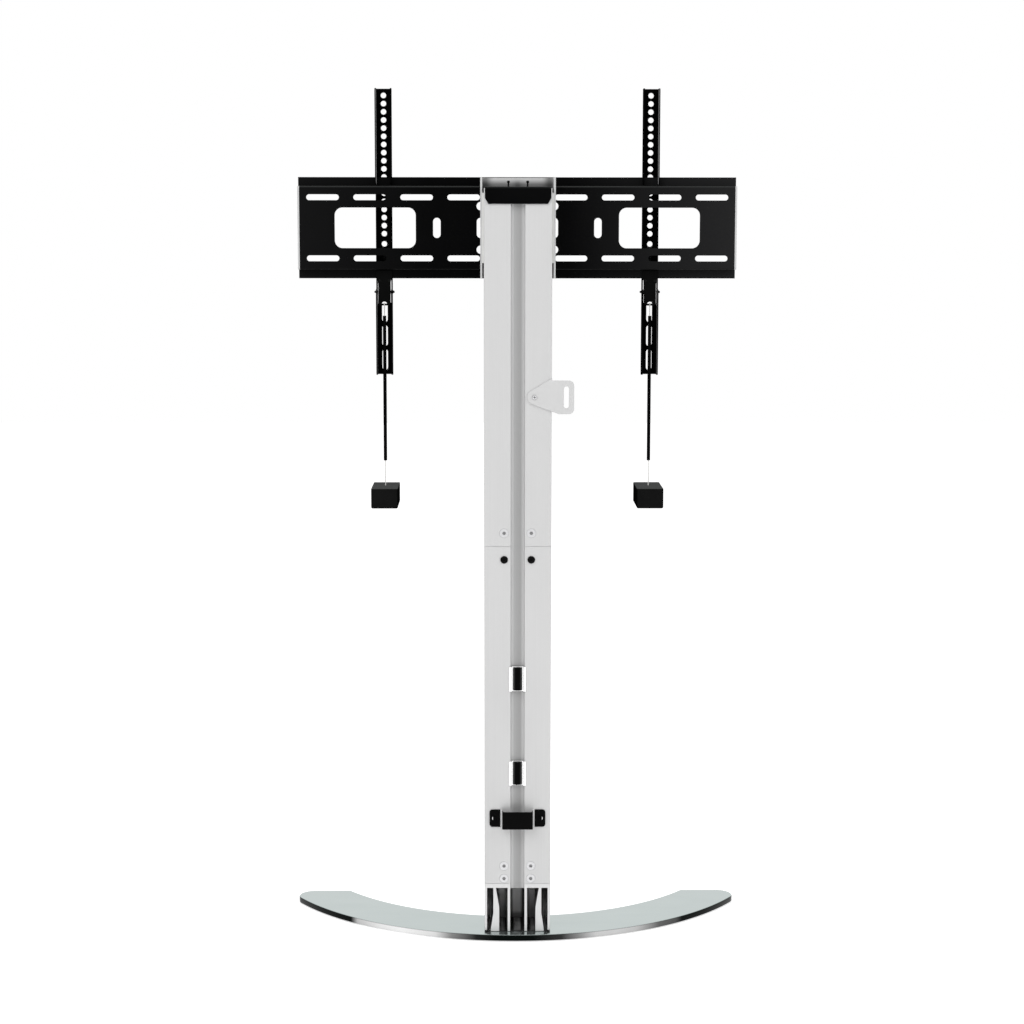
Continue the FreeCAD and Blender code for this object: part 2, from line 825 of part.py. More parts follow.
def cap_screws():
    """Two thin screws that stand up from the cap and enter the column's screw ports."""
    screws = []
    top = column_top + cap_sheet + cap_screw_rise
    for side in (-1, 1):
        start = point(side * port_offset, column_back + port_back, top)
        stem = rod(start, port_bore, cap_screw_rise + cap_screw_depth, -UP)
        head = rod(start, cap_screw_head_radius, cap_screw_head_height, UP)
        head = head.makeFillet(cap_screw_round, [e for e in head.Edges if e.BoundBox.ZLength < 0.01])
        screws.append(join([stem, head]))
    return screws


def wall_plate():
    """Hat-section plate: two shelves and lips for the arms, slots, holes and two windows."""
    t = plate_sheet
    section = [(wall_back, plate_base), (wall_back, plate_top), (lip_back, plate_top), (lip_back, lip_top),
               (lip_front, lip_top), (lip_front, plate_top - t), (wall_front, plate_top - t),
               (wall_front, plate_base + t), (lip_front, plate_base + t), (lip_front, lip_base),
               (lip_back, lip_base), (lip_back, plate_base)]
    outline = [point(-plate_half, y, z) for y, z in section]
    body = outline_prism(outline, RIGHT * (2 * plate_half))
    body = rounded(body, plate_bend, RIGHT, lambda m: m.y < wall_back + 0.1)
    body = rounded(body, plate_bend, RIGHT, lambda m: m.y > lip_front - 0.1
                   and plate_base - t < m.z < plate_top + t)
    inset = plate_half - end_cap_thickness
    ends = [side_block(side, inset, plate_half + 1, wall_back - 1, lip_back, plate_base - 1, plate_top + 1)
            for side in (-1, 1)]
    return body.cut(ends + plate_openings())


def plate_openings():
    """Cutters for the slots, holes and windows of the wall plate."""
    y0, y1 = wall_back - 1, wall_front + 1
    cuts = []
    for side in (-1, 1):
        for row in (-1, 1):
            for step in range(plate_slot_count):
                x = side * (plate_slot_first + step * plate_slot_pitch)
                cuts.append(slot_cut(x, plate_centre + row * plate_slot_rise, plate_slot_length / 2,
                                     plate_slot_width / 2, y0, y1))
            hole = point(side * plate_hole_offset, y0, plate_centre + row * plate_hole_rise)
            cuts.append(rod(hole, plate_hole_radius, y1 - y0, TO_SCREEN))
        for offset in (tall_slot_near, tall_slot_offset):
            cuts.append(slot_cut(side * offset, plate_centre, tall_slot_width / 2, tall_slot_length / 2,
                                 y0, y1))
        window = side_block(side, window_inner, window_outer, y0, y1,
                            plate_centre - window_height / 2, plate_centre + window_height / 2)
        cuts.append(rounded(window, window_corner, TO_SCREEN))
    for x, z in head_bolt_places():
        cuts.append(rod(point(x, y0, z), head_bolt_radius + head_bolt_clearance, y1 - y0, TO_SCREEN))
    return cuts


def plate_end_cap(side):
    """Pale moulded cover on one end of the wall plate, with a rim that enters the section."""
    inset = plate_half - end_cap_thickness
    skin = side_block(side, inset, plate_half, wall_back, lip_back, plate_base, plate_top)
    skin = rounded(skin, plate_bend, RIGHT, lambda m: m.y < wall_back + 0.1)
    rim_x = inset - end_cap_wall * 2
    rim = side_block(side, rim_x, inset, wall_front, lip_back, plate_base + plate_sheet,
                     plate_top - plate_sheet)
    hollow = side_block(side, rim_x, inset, wall_front + end_cap_wall, lip_back,
                        plate_base + plate_sheet + end_cap_wall, plate_top - plate_sheet - end_cap_wall)
    return join([skin, rim.cut(hollow)])


def head_bolts():
    """Bolts from the screen side through plate, adapter and column into the nut bars."""
    bolts = []
    face = wall_front + head_bolt_washer
    for x, z in head_bolt_places():
        start = point(x, face, z)
        length = face - (column_front - column_wall - nut_bar_depth)
        stem = rod(start, head_bolt_radius, length, -TO_SCREEN)
        corners = []
        for step in range(6):
            angle = math.radians(60 * step)
            corners.append(start + RIGHT * (head_bolt_head_radius * math.cos(angle))
                           + UP * (head_bolt_head_radius * math.sin(angle)))
        bolts.append(join([stem, outline_prism(corners, TO_SCREEN * head_bolt_head_height)]))
    return bolts


def head_washers():
    """Flat washers under the bolt heads."""
    washers = []
    for x, z in head_bolt_places():
        start = point(x, wall_front, z)
        body = rod(start, head_bolt_washer_radius, head_bolt_washer, TO_SCREEN)
        washers.append(body.cut(rod(start, head_bolt_radius, head_bolt_washer, TO_SCREEN)))
    return washers


def nut_bars():
    """Tapped bars inside the column that take the head bolts."""
    bars = []
    y1 = column_front - column_wall
    for side in (-1, 1):
        bar = cell_bar(side, y1 - nut_bar_depth, y1, plate_centre - nut_bar_length / 2,
                       plate_centre + nut_bar_length / 2)
        for x, z in head_bolt_places():
            bar = bar.cut(rod(point(x, y1 - nut_bar_depth, z), head_bolt_radius, nut_bar_depth, TO_SCREEN))
        bars.append(bar)
    return bars


def arm_flange_outline(x):
    """Side view of an arm: deep above and below the plate, shallow across it, a hook at the top lip."""
    shallow = lip_front + running_gap
    hook_y = lip_back - running_gap
    hook_low = plate_top + hook_step
    clear = pin_height + latch_pin_radius + hook_step
    over = lip_top + running_gap
    return [point(x, arm_web_front, arm_bottom), point(x, arm_web_front, arm_top),
            point(x, arm_back, arm_top), point(x, arm_back, hook_low), point(x, hook_y, hook_low),
            point(x, hook_y, over), point(x, shallow, over), point(x, shallow, clear),
            point(x, arm_back, clear), point(x, arm_back, arm_bottom)]


def arm_channel(centre):
    """Upright channel: web towards the screen, flanges that hook over the plate, rows of holes."""
    half = arm_width / 2
    body = outline_prism(arm_flange_outline(centre - half), RIGHT * arm_width)
    body = rounded(body, arm_bend, UP, lambda m: m.y > arm_web_front - 0.1)
    inner = half - arm_sheet
    hollow = block(centre - inner, centre + inner, arm_back - 1, arm_web_back, arm_bottom - 1, arm_top + 1)
    anchor = block(centre - anchor_half, centre + anchor_half, lip_front + running_gap, arm_web_back,
                   anchor_height - anchor_thickness, anchor_height)
    body = body.cut(hollow)
    body = rounded(body, arm_corner, RIGHT, lambda m: m.y < arm_back + 0.1)
    body = join([body, anchor])
    return body.cut(arm_openings(centre) + [latch_pin_hole(centre)])


def arm_openings(centre):
    """Cutters for the screen-fixing holes, the long slots and the window round the latch."""
    y0, y1 = arm_web_back - 0.5, arm_web_front + 1
    cuts = []
    for step in range(arm_hole_count):
        place = point(centre, y0, arm_top - arm_hole_first - step * arm_hole_pitch)
        cuts.append(rod(place, arm_hole_radius, y1 - y0, TO_SCREEN))
    spring_hole = point(centre, y0, anchor_height + arm_hole_radius)
    cuts.append(rod(spring_hole, arm_hole_radius, y1 - y0, TO_SCREEN))
    half = arm_slot_length / 2
    for step in range(arm_slot_count):
        z = arm_bottom + arm_slot_end + half + step * arm_slot_pitch
        cuts.append(slot_cut(centre, z, arm_slot_width / 2, half, y0, y1))
    last_slot = arm_bottom + arm_slot_end + half + (arm_slot_count - 1) * arm_slot_pitch
    low = last_slot + half - arm_slot_width / 4
    window = block(centre - arm_window_width / 2, centre + arm_window_width / 2, y0, y1,
                   low, low + arm_window_height)
    cuts.append(rounded(window, arm_window_corner, TO_SCREEN))
    return cuts


def latch_pin_hole(centre):
    """Cross bore for the pin that guides the latch."""
    start = point(centre - arm_width / 2, pin_y, pin_height)
    return rod(start, latch_pin_radius, arm_width, RIGHT)


def latch_pin(centre):
    """Guide pin: domed head on its left, groove end on its right."""
    half = arm_width / 2
    start = point(centre - half, pin_y, pin_height)
    stem = rod(start, latch_pin_radius, arm_width + latch_pin_tail, RIGHT)
    head = cone(start, latch_pin_head_radius, latch_pin_radius * 0.6, latch_pin_head, -RIGHT)
    return join([stem, head])


def latch_pin_ring(centre):
    """Retaining ring on the right end of the guide pin."""
    start = point(centre + arm_width / 2, pin_y, pin_height)
    body = rod(start, latch_ring_radius, latch_ring_thickness, RIGHT)
    return body.cut(rod(start, latch_pin_radius, latch_ring_thickness, RIGHT))


def latch(centre):
    """Sliding latch: a wide catch behind the lower lip, shoulders inside the flanges, a tail with
    a pull eye, two slotted cheeks that run on the pin and a tongue for the spring."""
    catch_low = lip_base - latch_tab_under
    shoulder_low = lip_base - latch_shoulder_drop
    catch = block(centre - latch_tab_half, centre + latch_tab_half, latch_back, latch_front,
                  catch_low, lip_base + latch_cover)
    catch = rounded(catch, latch_tab_corner, TO_SCREEN)
    shoulder = block(centre - latch_shoulder_half, centre + latch_shoulder_half, latch_back, latch_front,
                     shoulder_low, lip_base)
    shoulder = rounded(shoulder, latch_shoulder_corner, TO_SCREEN, lambda m: m.z < shoulder_low + 0.1)
    tail = block(centre - latch_body_half, centre + latch_body_half, latch_back, latch_front,
                 tail_bottom, lip_base)
    tail = rounded(tail, latch_tail_corner, TO_SCREEN, lambda m: m.z < tail_bottom + 0.1)
    cheek_low = pin_height - latch_pin_radius - latch_pin_fit - latch_wall
    cheek_y = latch_back + latch_cheek_depth
    pieces = [catch, shoulder, tail]
    for side in (-1, 1):
        low, high = sorted((centre + side * (latch_body_half - latch_wall),
                            centre + side * latch_body_half))
        pieces.append(block(low, high, latch_back, cheek_y, cheek_low, catch_low))
    cross_low = pin_height + latch_travel + latch_pin_radius + 2 * latch_pin_fit
    pieces.append(block(centre - latch_body_half, centre + latch_body_half, cheek_y - latch_wall, cheek_y,
                        cross_low, catch_low))
    pieces.append(block(centre - latch_tongue_half, centre + latch_tongue_half, cheek_y - latch_wall,
                        cheek_y, cross_low, lip_base + latch_tongue_height))
    body = join(pieces)
    return body.cut([latch_slot(centre), latch_eye(centre)])


def latch_slot(centre):
    """Upright slot in both cheeks, as long as the travel, for the guide pin."""
    radius = latch_pin_radius + latch_pin_fit
    start = point(centre - latch_body_half, pin_y, pin_height)
    low = rod(start, radius, 2 * latch_body_half, RIGHT)
    high = rod(start + UP * latch_travel, radius, 2 * latch_body_half, RIGHT)
    middle = block(start.x, centre + latch_body_half, pin_y - radius, pin_y + radius,
                   pin_height, pin_height + latch_travel)
    return join([low, high, middle])


def latch_eye(centre):
    """D-shaped pull eye with a straight lower bar."""
    base = tail_bottom + latch_bar
    radius = (latch_ring_half ** 2 + latch_ring_height ** 2) / (2 * latch_ring_height)
    middle = base + latch_ring_height - radius
    full = rod(point(centre, latch_back, middle), radius, latch_sheet, TO_SCREEN)
    upper = block(centre - latch_ring_half, centre + latch_ring_half, latch_back, latch_front,
                  base, base + latch_ring_height)
    return full.common(upper)


def latch_rivets(centre):
    """Two dark rivet heads at the shoulders of the latch."""
    heads = []
    for side in (-1, 1):
        place = point(centre + side * latch_rivet_offset, latch_back, lip_base - latch_rivet_drop)
        head = rod(place, latch_rivet_radius, latch_rivet_height, -TO_SCREEN)
        rim = [e for e in head.Edges if e.BoundBox.YLength < 0.01
               and e.BoundBox.YMin < latch_back - latch_rivet_height / 2]
        heads.append(head.makeFillet(latch_rivet_height * 0.6, rim))
    return heads


def latch_spring(centre):
    """Coil spring between the anchor of the arm and the tongue of the latch."""
    low = lip_base + latch_tongue_height
    high = anchor_height - anchor_thickness
    y = latch_back + latch_cheek_depth - latch_wall / 2
    height = high - low - 2 * spring_wire
    helix = Part.makeHelix(height / spring_turns, height, spring_radius)
    helix.translate(point(centre, y, low + spring_wire))
    start = point(centre + spring_radius, y, low + spring_wire)
    ring = Part.Wire([Part.makeCircle(spring_wire, start, TO_SCREEN)])
    return Part.Wire(helix.Edges).makePipeShell([ring], True, True)


def pull_string(centre):
    """Thin string from the pull eye, through the sleeve and the grip, to its knot."""
    return rod(point(centre, latch_middle, tail_bottom), string_radius, string_length, -UP)


def pull_sleeve(centre):
    """Dark tube that keeps the string straight behind the screen."""
    top = point(centre, latch_middle, tail_bottom - sleeve_drop)
    body = rod(top, sleeve_radius, sleeve_length, -UP)
    return body.cut(rod(top, string_radius + string_bore_gap, sleeve_length, -UP))


def pull_grip(centre):
    """Block-shaped grip, pierced for the string, with a recess below for the knot."""
    top = tail_bottom - grip_drop
    low = top - grip_height
    body = block(centre - grip_width / 2, centre + grip_width / 2, latch_middle - grip_depth / 2,
                 latch_middle + grip_depth / 2, low, top)
    body = rounded(body, grip_corner, UP)
    rim = [e for e in body.Edges if e.BoundBox.ZMax < low + 0.01]
    body = body.makeFillet(grip_bottom_corner, rim)
    upper_rim = [e for e in body.Edges if e.BoundBox.ZMin > top - 0.01]
    body = body.makeFillet(grip_top_corner, upper_rim)
    bore = rod(point(centre, latch_middle, low), string_radius + string_bore_gap, grip_height, UP)
    recess = rod(point(centre, latch_middle, low), knot_radius + knot_recess_gap,
                 top - low - (string_length - grip_drop) + knot_radius + knot_recess_gap, UP)
    return body.cut([bore, recess])


def string_knot(centre):
    """Knot under the grip, at the end of the string."""
    body = Part.makeSphere(knot_radius, point(centre, latch_middle, tail_bottom - string_length))
    return body.cut(pull_string(centre))


def export(name, shapes):
    """Write one node, made of one solid or of a group of separate solids."""
    group = shapes if isinstance(shapes, list) else [shapes]
    solids = [solid for shape in group for solid in shape.Solids]
    shape = solids[0] if len(solids) == 1 else Part.makeCompound(solids)
    shape.exportStep("parts/" + name + ".step")
    print(name, len(solids), round(sum(s.Volume for s in solids), 1), all(s.isValid() for s in solids))


def build_stand():
    """Everything that stands still."""
    export("glass_base", glass_base())
    export("base_pads", base_pads())
    export("base_bushes", base_bushes())
    export("base_screws", base_screws())
    export("foot_gasket", foot_gasket())
    export("foot_section", foot_section())
    export("lower_column", lower_column())
    export("upper_column", upper_column())
    export("column_splice", column_splice())
    export("foot_screws", [face_screw(side * face_screw_offset, z) for side in (-1, 1)
                           for z in foot_screw_heights()])
    export("splice_screws", [face_screw(side * face_screw_offset, joint_height + splice_screw_rise)
                             for side in (-1, 1)])
    export("splice_buttons", splice_buttons())
    export("clip_frames", [clip_rails(height) for height in clip_heights])
    export("clip_covers", [clip_block(height) for height in clip_heights])
    export("cable_bridge", cable_bridge())
    export("bridge_screws", [small_screw(side * bridge_screw_offset, column_back - bridge_sheet,
                                         bridge_height, small_stem_length) for side in (-1, 1)])
    export("ear_bracket", ear_bracket())
    export("ear_screw", small_screw(ear_screw_offset, column_back - ear_sheet, ear_screw_height,
                                    small_stem_length))
    export("head_adapter", head_adapter())
    export("adapter_fillers", adapter_fillers())
    export("hook_cap", hook_cap())
    export("cap_screws", cap_screws())
    export("wall_plate", wall_plate())
    export("end_cap_left", plate_end_cap(-1))
    export("end_cap_right", plate_end_cap(1))
    export("head_bolts", head_bolts())
    export("head_washers", head_washers())
    export("nut_bars", nut_bars())


def build_arm(side_name, side):
    """One arm with its latch and pull cord."""
    centre = side * arm_offset
    export("arm_" + side_name, arm_channel(centre))
    export("latch_pin_" + side_name, latch_pin(centre))
    export("pin_ring_" + side_name, latch_pin_ring(centre))
    export("latch_" + side_name, latch(centre))
    export("latch_rivets_" + side_name, latch_rivets(centre))
    export("latch_spring_" + side_name, latch_spring(centre))
    export("pull_string_" + side_name, pull_string(centre))
    export("pull_sleeve_" + side_name, pull_sleeve(centre))
    export("pull_grip_" + side_name, pull_grip(centre))
    export("string_knot_" + side_name, string_knot(centre))


build_stand()
for arm_side, direction in (("left", -1), ("right", 1)):
    build_arm(arm_side, direction)
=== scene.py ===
import logging
import math
from dataclasses import dataclass
from enum import Enum

import bpy
import numpy as np
from mathutils import Matrix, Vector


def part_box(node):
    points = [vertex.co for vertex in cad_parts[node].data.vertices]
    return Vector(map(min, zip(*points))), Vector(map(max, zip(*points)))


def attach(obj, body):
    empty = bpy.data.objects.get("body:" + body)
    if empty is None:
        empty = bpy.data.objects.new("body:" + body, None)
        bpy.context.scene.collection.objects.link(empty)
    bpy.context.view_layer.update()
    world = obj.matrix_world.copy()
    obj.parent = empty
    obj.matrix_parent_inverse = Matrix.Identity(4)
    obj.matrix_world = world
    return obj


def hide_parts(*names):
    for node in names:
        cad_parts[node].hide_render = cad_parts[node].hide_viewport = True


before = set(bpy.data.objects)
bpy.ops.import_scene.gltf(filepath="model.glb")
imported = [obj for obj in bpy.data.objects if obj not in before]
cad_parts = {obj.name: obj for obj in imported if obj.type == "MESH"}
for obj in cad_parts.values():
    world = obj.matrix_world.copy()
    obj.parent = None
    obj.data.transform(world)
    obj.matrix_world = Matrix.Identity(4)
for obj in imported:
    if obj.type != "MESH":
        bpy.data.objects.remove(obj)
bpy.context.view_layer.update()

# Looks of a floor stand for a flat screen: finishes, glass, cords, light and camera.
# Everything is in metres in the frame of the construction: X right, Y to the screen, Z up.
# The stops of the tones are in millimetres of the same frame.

MM = 0.001
FULL_TURN = 2 * math.pi
log = logging.getLogger("stand")

Triple = tuple[float, float, float]
Stops = tuple[tuple[float, float], ...]
Socket = bpy.types.NodeSocket


class Side(Enum):
    """The two sides of the stand, seen from its rear."""

    LEFT = -1
    RIGHT = 1

    @property
    def word(self) -> str:
        """The side's word as it stands in node and body names."""
        return self.name.lower()


class Axis(Enum):
    """The ways in which a painted light or shade can run."""

    X = "X"
    Y = "Y"
    Z = "Z"
    ASIDE = "distance from the middle plane"


@dataclass(frozen=True)
class PaintedTone:
    """A painted light or shade in one region, such as the painted shade inside a groove.

    Each entry of along names an axis and stops of place in millimetres and strength. Between stops
    the strength runs evenly, and the strengths of all axes multiply.
    """

    colour: Triple
    along: tuple[tuple[Axis, Stops], ...]


class Graph:
    """The node tree of a material or a world, with short calls to add and join nodes."""

    # A pattern of cloudy noise keeps mostly between these two values.
    NOISE_LOW, NOISE_HIGH = 0.3, 0.7
    # How far a face turns before the painted panel reflection shows, and when it shows in full.
    TURN_START, TURN_END = 0.2, 0.95
    # The painted reflections of the panels look a little cool on black.
    PAINTED_PANEL_TINT = (1.0, 1.04, 1.03)

    def __init__(self, owner: bpy.types.Material | bpy.types.World, output: str) -> None:
        """Empties the tree of a new material or world.

        Args:
            owner: the material or world.
            output: type of its output node.
        """
        owner.use_nodes = True
        self.owner = owner
        self.tree = owner.node_tree
        self.tree.nodes.clear()
        self.output = self.add(output)

    @classmethod
    def of_material(cls, name: str) -> "Graph":
        """An empty graph of a new material of the given name."""
        return cls(bpy.data.materials.new(name), "ShaderNodeOutputMaterial")

    @classmethod
    def of_world(cls, name: str) -> "Graph":
        """An empty graph of a new world of the given name."""
        return cls(bpy.data.worlds.new(name), "ShaderNodeOutputWorld")

    def add(self, kind: str, **values: object) -> bpy.types.Node:
        """Adds a node.

        Args:
            kind: the node's type.
            **values: settings of the node itself.

        Returns:
            The new node.
        """
        node = self.tree.nodes.new(kind)
        for name, value in values.items():
            setattr(node, name, value)
        return node

    def link(self, source: Socket, target: Socket) -> None:
        """Joins two sockets.

        Args:
            source: an output.
            target: an input.
        """
        self.tree.links.new(source, target)

    def maths(self, operation: str, *values: Socket) -> Socket:
        """Works out one sum.

        Args:
            operation: the sum's name in Blender.
            *values: one or two numbers that go in.

        Returns:
            The result.
        """
        node = self.add("ShaderNodeMath", operation=operation)
        for number, value in enumerate(values):
            self.link(value, node.inputs[number])
        return node.outputs["Value"]

    def coordinate(self, kind: str, axis: Axis) -> Socket:
        """One coordinate of a point or of its normal in the object's own frame.

        Args:
            kind: Object for the place, Normal for the way the face looks.
            axis: which coordinate; ASIDE gives X without its sign.

        Returns:
            The coordinate.
        """
        place = self.add("ShaderNodeTexCoord")
        parts = self.add("ShaderNodeSeparateXYZ")
        self.link(place.outputs[kind], parts.inputs["Vector"])
        if axis is Axis.ASIDE:
            return self.maths("ABSOLUTE", parts.outputs["X"])
        return parts.outputs[axis.value]

    def object_point(self, scale: Triple) -> Socket:
        """Object coordinates, stretched along the three axes.

        Args:
            scale: how many pattern units one metre holds along each axis.

        Returns:
            The stretched coordinates.
        """
        place = self.add("ShaderNodeTexCoord")
        mapping = self.add("ShaderNodeMapping")
        mapping.inputs["Scale"].default_value = scale
        self.link(place.outputs["Object"], mapping.inputs["Vector"])
        return mapping.outputs["Vector"]

    def noise(self, scale: Triple, detail: float) -> Socket:
        """Cloudy noise on object coordinates.

        Args:
            scale: pattern units per metre along each axis.
            detail: how many finer layers are added.

        Returns:
            The noise value, from 0 to 1.
        """
        node = self.add("ShaderNodeTexNoise")
        node.inputs["Scale"].default_value = 1.0
        node.inputs["Detail"].default_value = detail
        node.inputs["Roughness"].default_value = 0.55
        self.link(self.object_point(scale), node.inputs["Vector"])
        return node.outputs["Fac"]

    def span(self, value: Socket, low: float, high: float,
             start: float = NOISE_LOW, end: float = NOISE_HIGH) -> Socket:
        """Maps a pattern onto a range of numbers.

        Args:
            value: the pattern.
            low: the result where the pattern is at start.
            high: the result where the pattern is at end.
            start: pattern value that gives low.
            end: pattern value that gives high.

        Returns:
            The mapped value.
        """
        node = self.add("ShaderNodeMapRange")
        numbers = {"From Min": start, "From Max": end, "To Min": low, "To Max": high}
        for name, number in numbers.items():
            node.inputs[name].default_value = number
        self.link(value, node.inputs["Value"])
        return node.outputs["Result"]

    def blend(self, factor: Socket, low: Triple | Socket, high: Triple) -> Socket:
        """Blends two colours by a pattern.

        Args:
            factor: the pattern, from 0 to 1.
            low: the colour at 0, written out or from another node.
            high: the colour at 1.

        Returns:
            The blended colour.
        """
        node = self.add("ShaderNodeMix", data_type="RGBA")
        if isinstance(low, tuple):
            node.inputs["A"].default_value = (*low, 1.0)
        else:
            self.link(low, node.inputs["A"])
        node.inputs["B"].default_value = (*high, 1.0)
        self.link(factor, node.inputs["Factor"])
        return node.outputs[2]

    def profile(self, axis: Axis, stops: Stops) -> Socket:
        """A strength that runs through stops along one axis of the object coordinates.

        Args:
            axis: which coordinate is read.
            stops: places in millimetres, in rising order, each with its strength from 0 to 1.

        Returns:
            The strength, held at the first and last stop beyond them.
        """
        value = self.coordinate("Object", axis)
        first, last = stops[0][0], stops[-1][0]
        ramp = self.add("ShaderNodeValToRGB")
        self.link(self.span(value, 0.0, 1.0, first * MM, last * MM), ramp.inputs["Fac"])
        elements = ramp.color_ramp.elements
        for number, (where, strength) in enumerate(stops):
            position = (where - first) / (last - first)
            element = elements[number] if number < 2 else elements.new(position)
            element.position = position
            element.color = (strength, strength, strength, 1.0)
        return ramp.outputs["Color"]

    def toned(self, colour: Socket, tones: tuple[PaintedTone, ...]) -> Socket:
        """Lays painted light and shade over a colour, one after the other.

        Args:
            colour: the colour underneath.
            tones: the painted lights and shades.

        Returns:
            The changed colour.
        """
        for tone in tones:
            strength, *others = [self.profile(axis, stops) for axis, stops in tone.along]
            for other in others:
                strength = self.maths("MULTIPLY", strength, other)
            colour = self.blend(strength, colour, tone.colour)
        return colour

    def painted(self, pattern: Socket, low: Triple, high: Triple, tones: tuple[PaintedTone, ...],
                faces: tuple[tuple[Axis, float], ...] = ()) -> Socket:
        """The colour of a finish: a pattern between two shades, its tones and its painted lit
        faces.

        Faces that look up (Z) or aside (ASIDE) blend towards a grey: a painted reflection of the
        studio's panels on black, or painted shade where that grey is darker than the finish.

        Args:
            pattern: the pattern that blends the two shades.
            low: the shade where the pattern is low.
            high: the shade where the pattern is high.
            tones: painted light and shade.
            faces: ways of looking, each with the painted grey of a face that looks straight that
                way.

        Returns:
            The colour.
        """
        colour = self.toned(self.blend(self.span(pattern, 0.0, 1.0), low, high), tones)
        for axis, shade in faces:
            # Painted light or shade: the face's turn blends the colour towards the painted panel
            # grey.
            turned = self.coordinate("Normal", axis)
            turned = self.span(turned, 0.0, 1.0, self.TURN_START, self.TURN_END)
            painted_panel = tuple(shade * part for part in self.PAINTED_PANEL_TINT)
            colour = self.blend(turned, colour, painted_panel)
        return colour

    def bump(self, height: Socket, strength: float, distance: float, edge: float = 0.0) -> Socket:
        """Surface relief from a pattern, over edges softened to a small radius.

        Args:
            height: the pattern.
            strength: how much of the relief shows.
            distance: the relief's height in metres.
            edge: the softened radius of sharp edges, in metres.

        Returns:
            The bent normal.
        """
        node = self.add("ShaderNodeBump")
        node.inputs["Strength"].default_value = strength
        node.inputs["Distance"].default_value = distance
        self.link(height, node.inputs["Height"])
        if edge > 0:
            soft = self.add("ShaderNodeBevel", samples=6)
            soft.inputs["Radius"].default_value = edge
            self.link(soft.outputs["Normal"], node.inputs["Normal"])
        return node.outputs["Normal"]

    def surface(self, **values: float) -> bpy.types.Node:
        """Adds the main shader and joins it to the output.

        Args:
            **values: socket values, with underscores for the spaces in their names.

        Returns:
            The shader node.
        """
        shader = self.add("ShaderNodeBsdfPrincipled")
        for name, value in values.items():
            shader.inputs[name.replace("_", " ")].default_value = value
        self.link(shader.outputs["BSDF"], self.output.inputs["Surface"])
        return shader

    def studio_rays(self) -> Socket:
        """Tells what is looked at from what only lights a surface.

        Returns:
            1 for rays from the camera and in metal and glass, 0 for all others.
        """
        rays = self.add("ShaderNodeLightPath").outputs
        direct = self.maths("MAXIMUM", rays["Is Camera Ray"], rays["Is Glossy Ray"])
        return self.maths("MAXIMUM", direct, rays["Is Transmission Ray"])

    def choose(self, factor: Socket, first: Socket, second: Socket) -> None:
        """Joins one of two shaders to the output.

        Args:
            factor: 0 for the first shader, 1 for the second.
            first: a shader.
            second: another shader.
        """
        node = self.add("ShaderNodeMixShader")
        self.link(factor, node.inputs["Fac"])
        self.link(first, node.inputs[1])
        self.link(second, node.inputs[2])
        self.link(node.outputs["Shader"], self.output.inputs["Surface"])


@dataclass(frozen=True)
class DrawnMetal:
    """Metal with fine lines along one axis, as drawn, extruded or brushed pieces have.

    The lines and clouds give pattern units per metre, the spread how far the roughness strays.
    Its tones lay painted light and shade over the colour.
    """

    name: str
    low: Triple
    high: Triple
    roughness: float
    metallic: float = 1.0
    lines: Triple = (900.0, 900.0, 4.0)
    relief: float = 0.000004
    edge: float = 0.0004
    tones: tuple[PaintedTone, ...] = ()
    clouds: Triple = (14.0, 14.0, 5.0)
    spread: tuple[float, float] = (0.88, 1.12)
    strength: float = 0.35

    def make(self) -> bpy.types.Material:
        """Builds the material: lines from stretched noise, and soft clouds in the gloss.

        Returns:
            The material.
        """
        g = Graph.of_material(self.name)
        lines = g.noise(self.lines, 2.0)
        clouds = g.noise(self.clouds, 2.0)
        rough = g.span(clouds, *(self.roughness * part for part in self.spread))
        shader = g.surface(Metallic=self.metallic)
        g.link(g.painted(lines, self.low, self.high, self.tones), shader.inputs["Base Color"])
        g.link(rough, shader.inputs["Roughness"])
        g.link(g.bump(lines, self.strength, self.relief, self.edge), shader.inputs["Normal"])
        return g.owner


@dataclass(frozen=True)
class PowderCoat:
    """Powder coat or paint: a fine orange peel over a deep colour.

    The grain and clouds give pattern units per metre, the spread how far the roughness strays.
    Its tones and faces lay painted light and shade over the colour.
    """

    name: str
    low: Triple
    high: Triple
    roughness: float
    gloss: float
    grain: float = 900.0
    relief: float = 0.00004
    edge: float = 0.0005
    tones: tuple[PaintedTone, ...] = ()
    faces: tuple[tuple[Axis, float], ...] = ()
    clouds: Triple = (22.0, 22.0, 22.0)
    spread: tuple[float, float] = (0.85, 1.2)
    strength: float = 0.25

    def make(self) -> bpy.types.Material:
        """Builds the material: orange peel from fine noise, uneven colour from wide noise.

        Returns:
            The material.
        """
        g = Graph.of_material(self.name)
        peel = g.noise((self.grain,) * 3, 2.0)
        wide = g.noise(self.clouds, 3.0)
        rough = g.span(peel, *(self.roughness * part for part in self.spread))
        shader = g.surface(Specular_IOR_Level=self.gloss)
        colour = g.painted(wide, self.low, self.high, self.tones, self.faces)
        g.link(colour, shader.inputs["Base Color"])
        g.link(rough, shader.inputs["Roughness"])
        g.link(g.bump(peel, self.strength, self.relief, self.edge), shader.inputs["Normal"])
        return g.owner


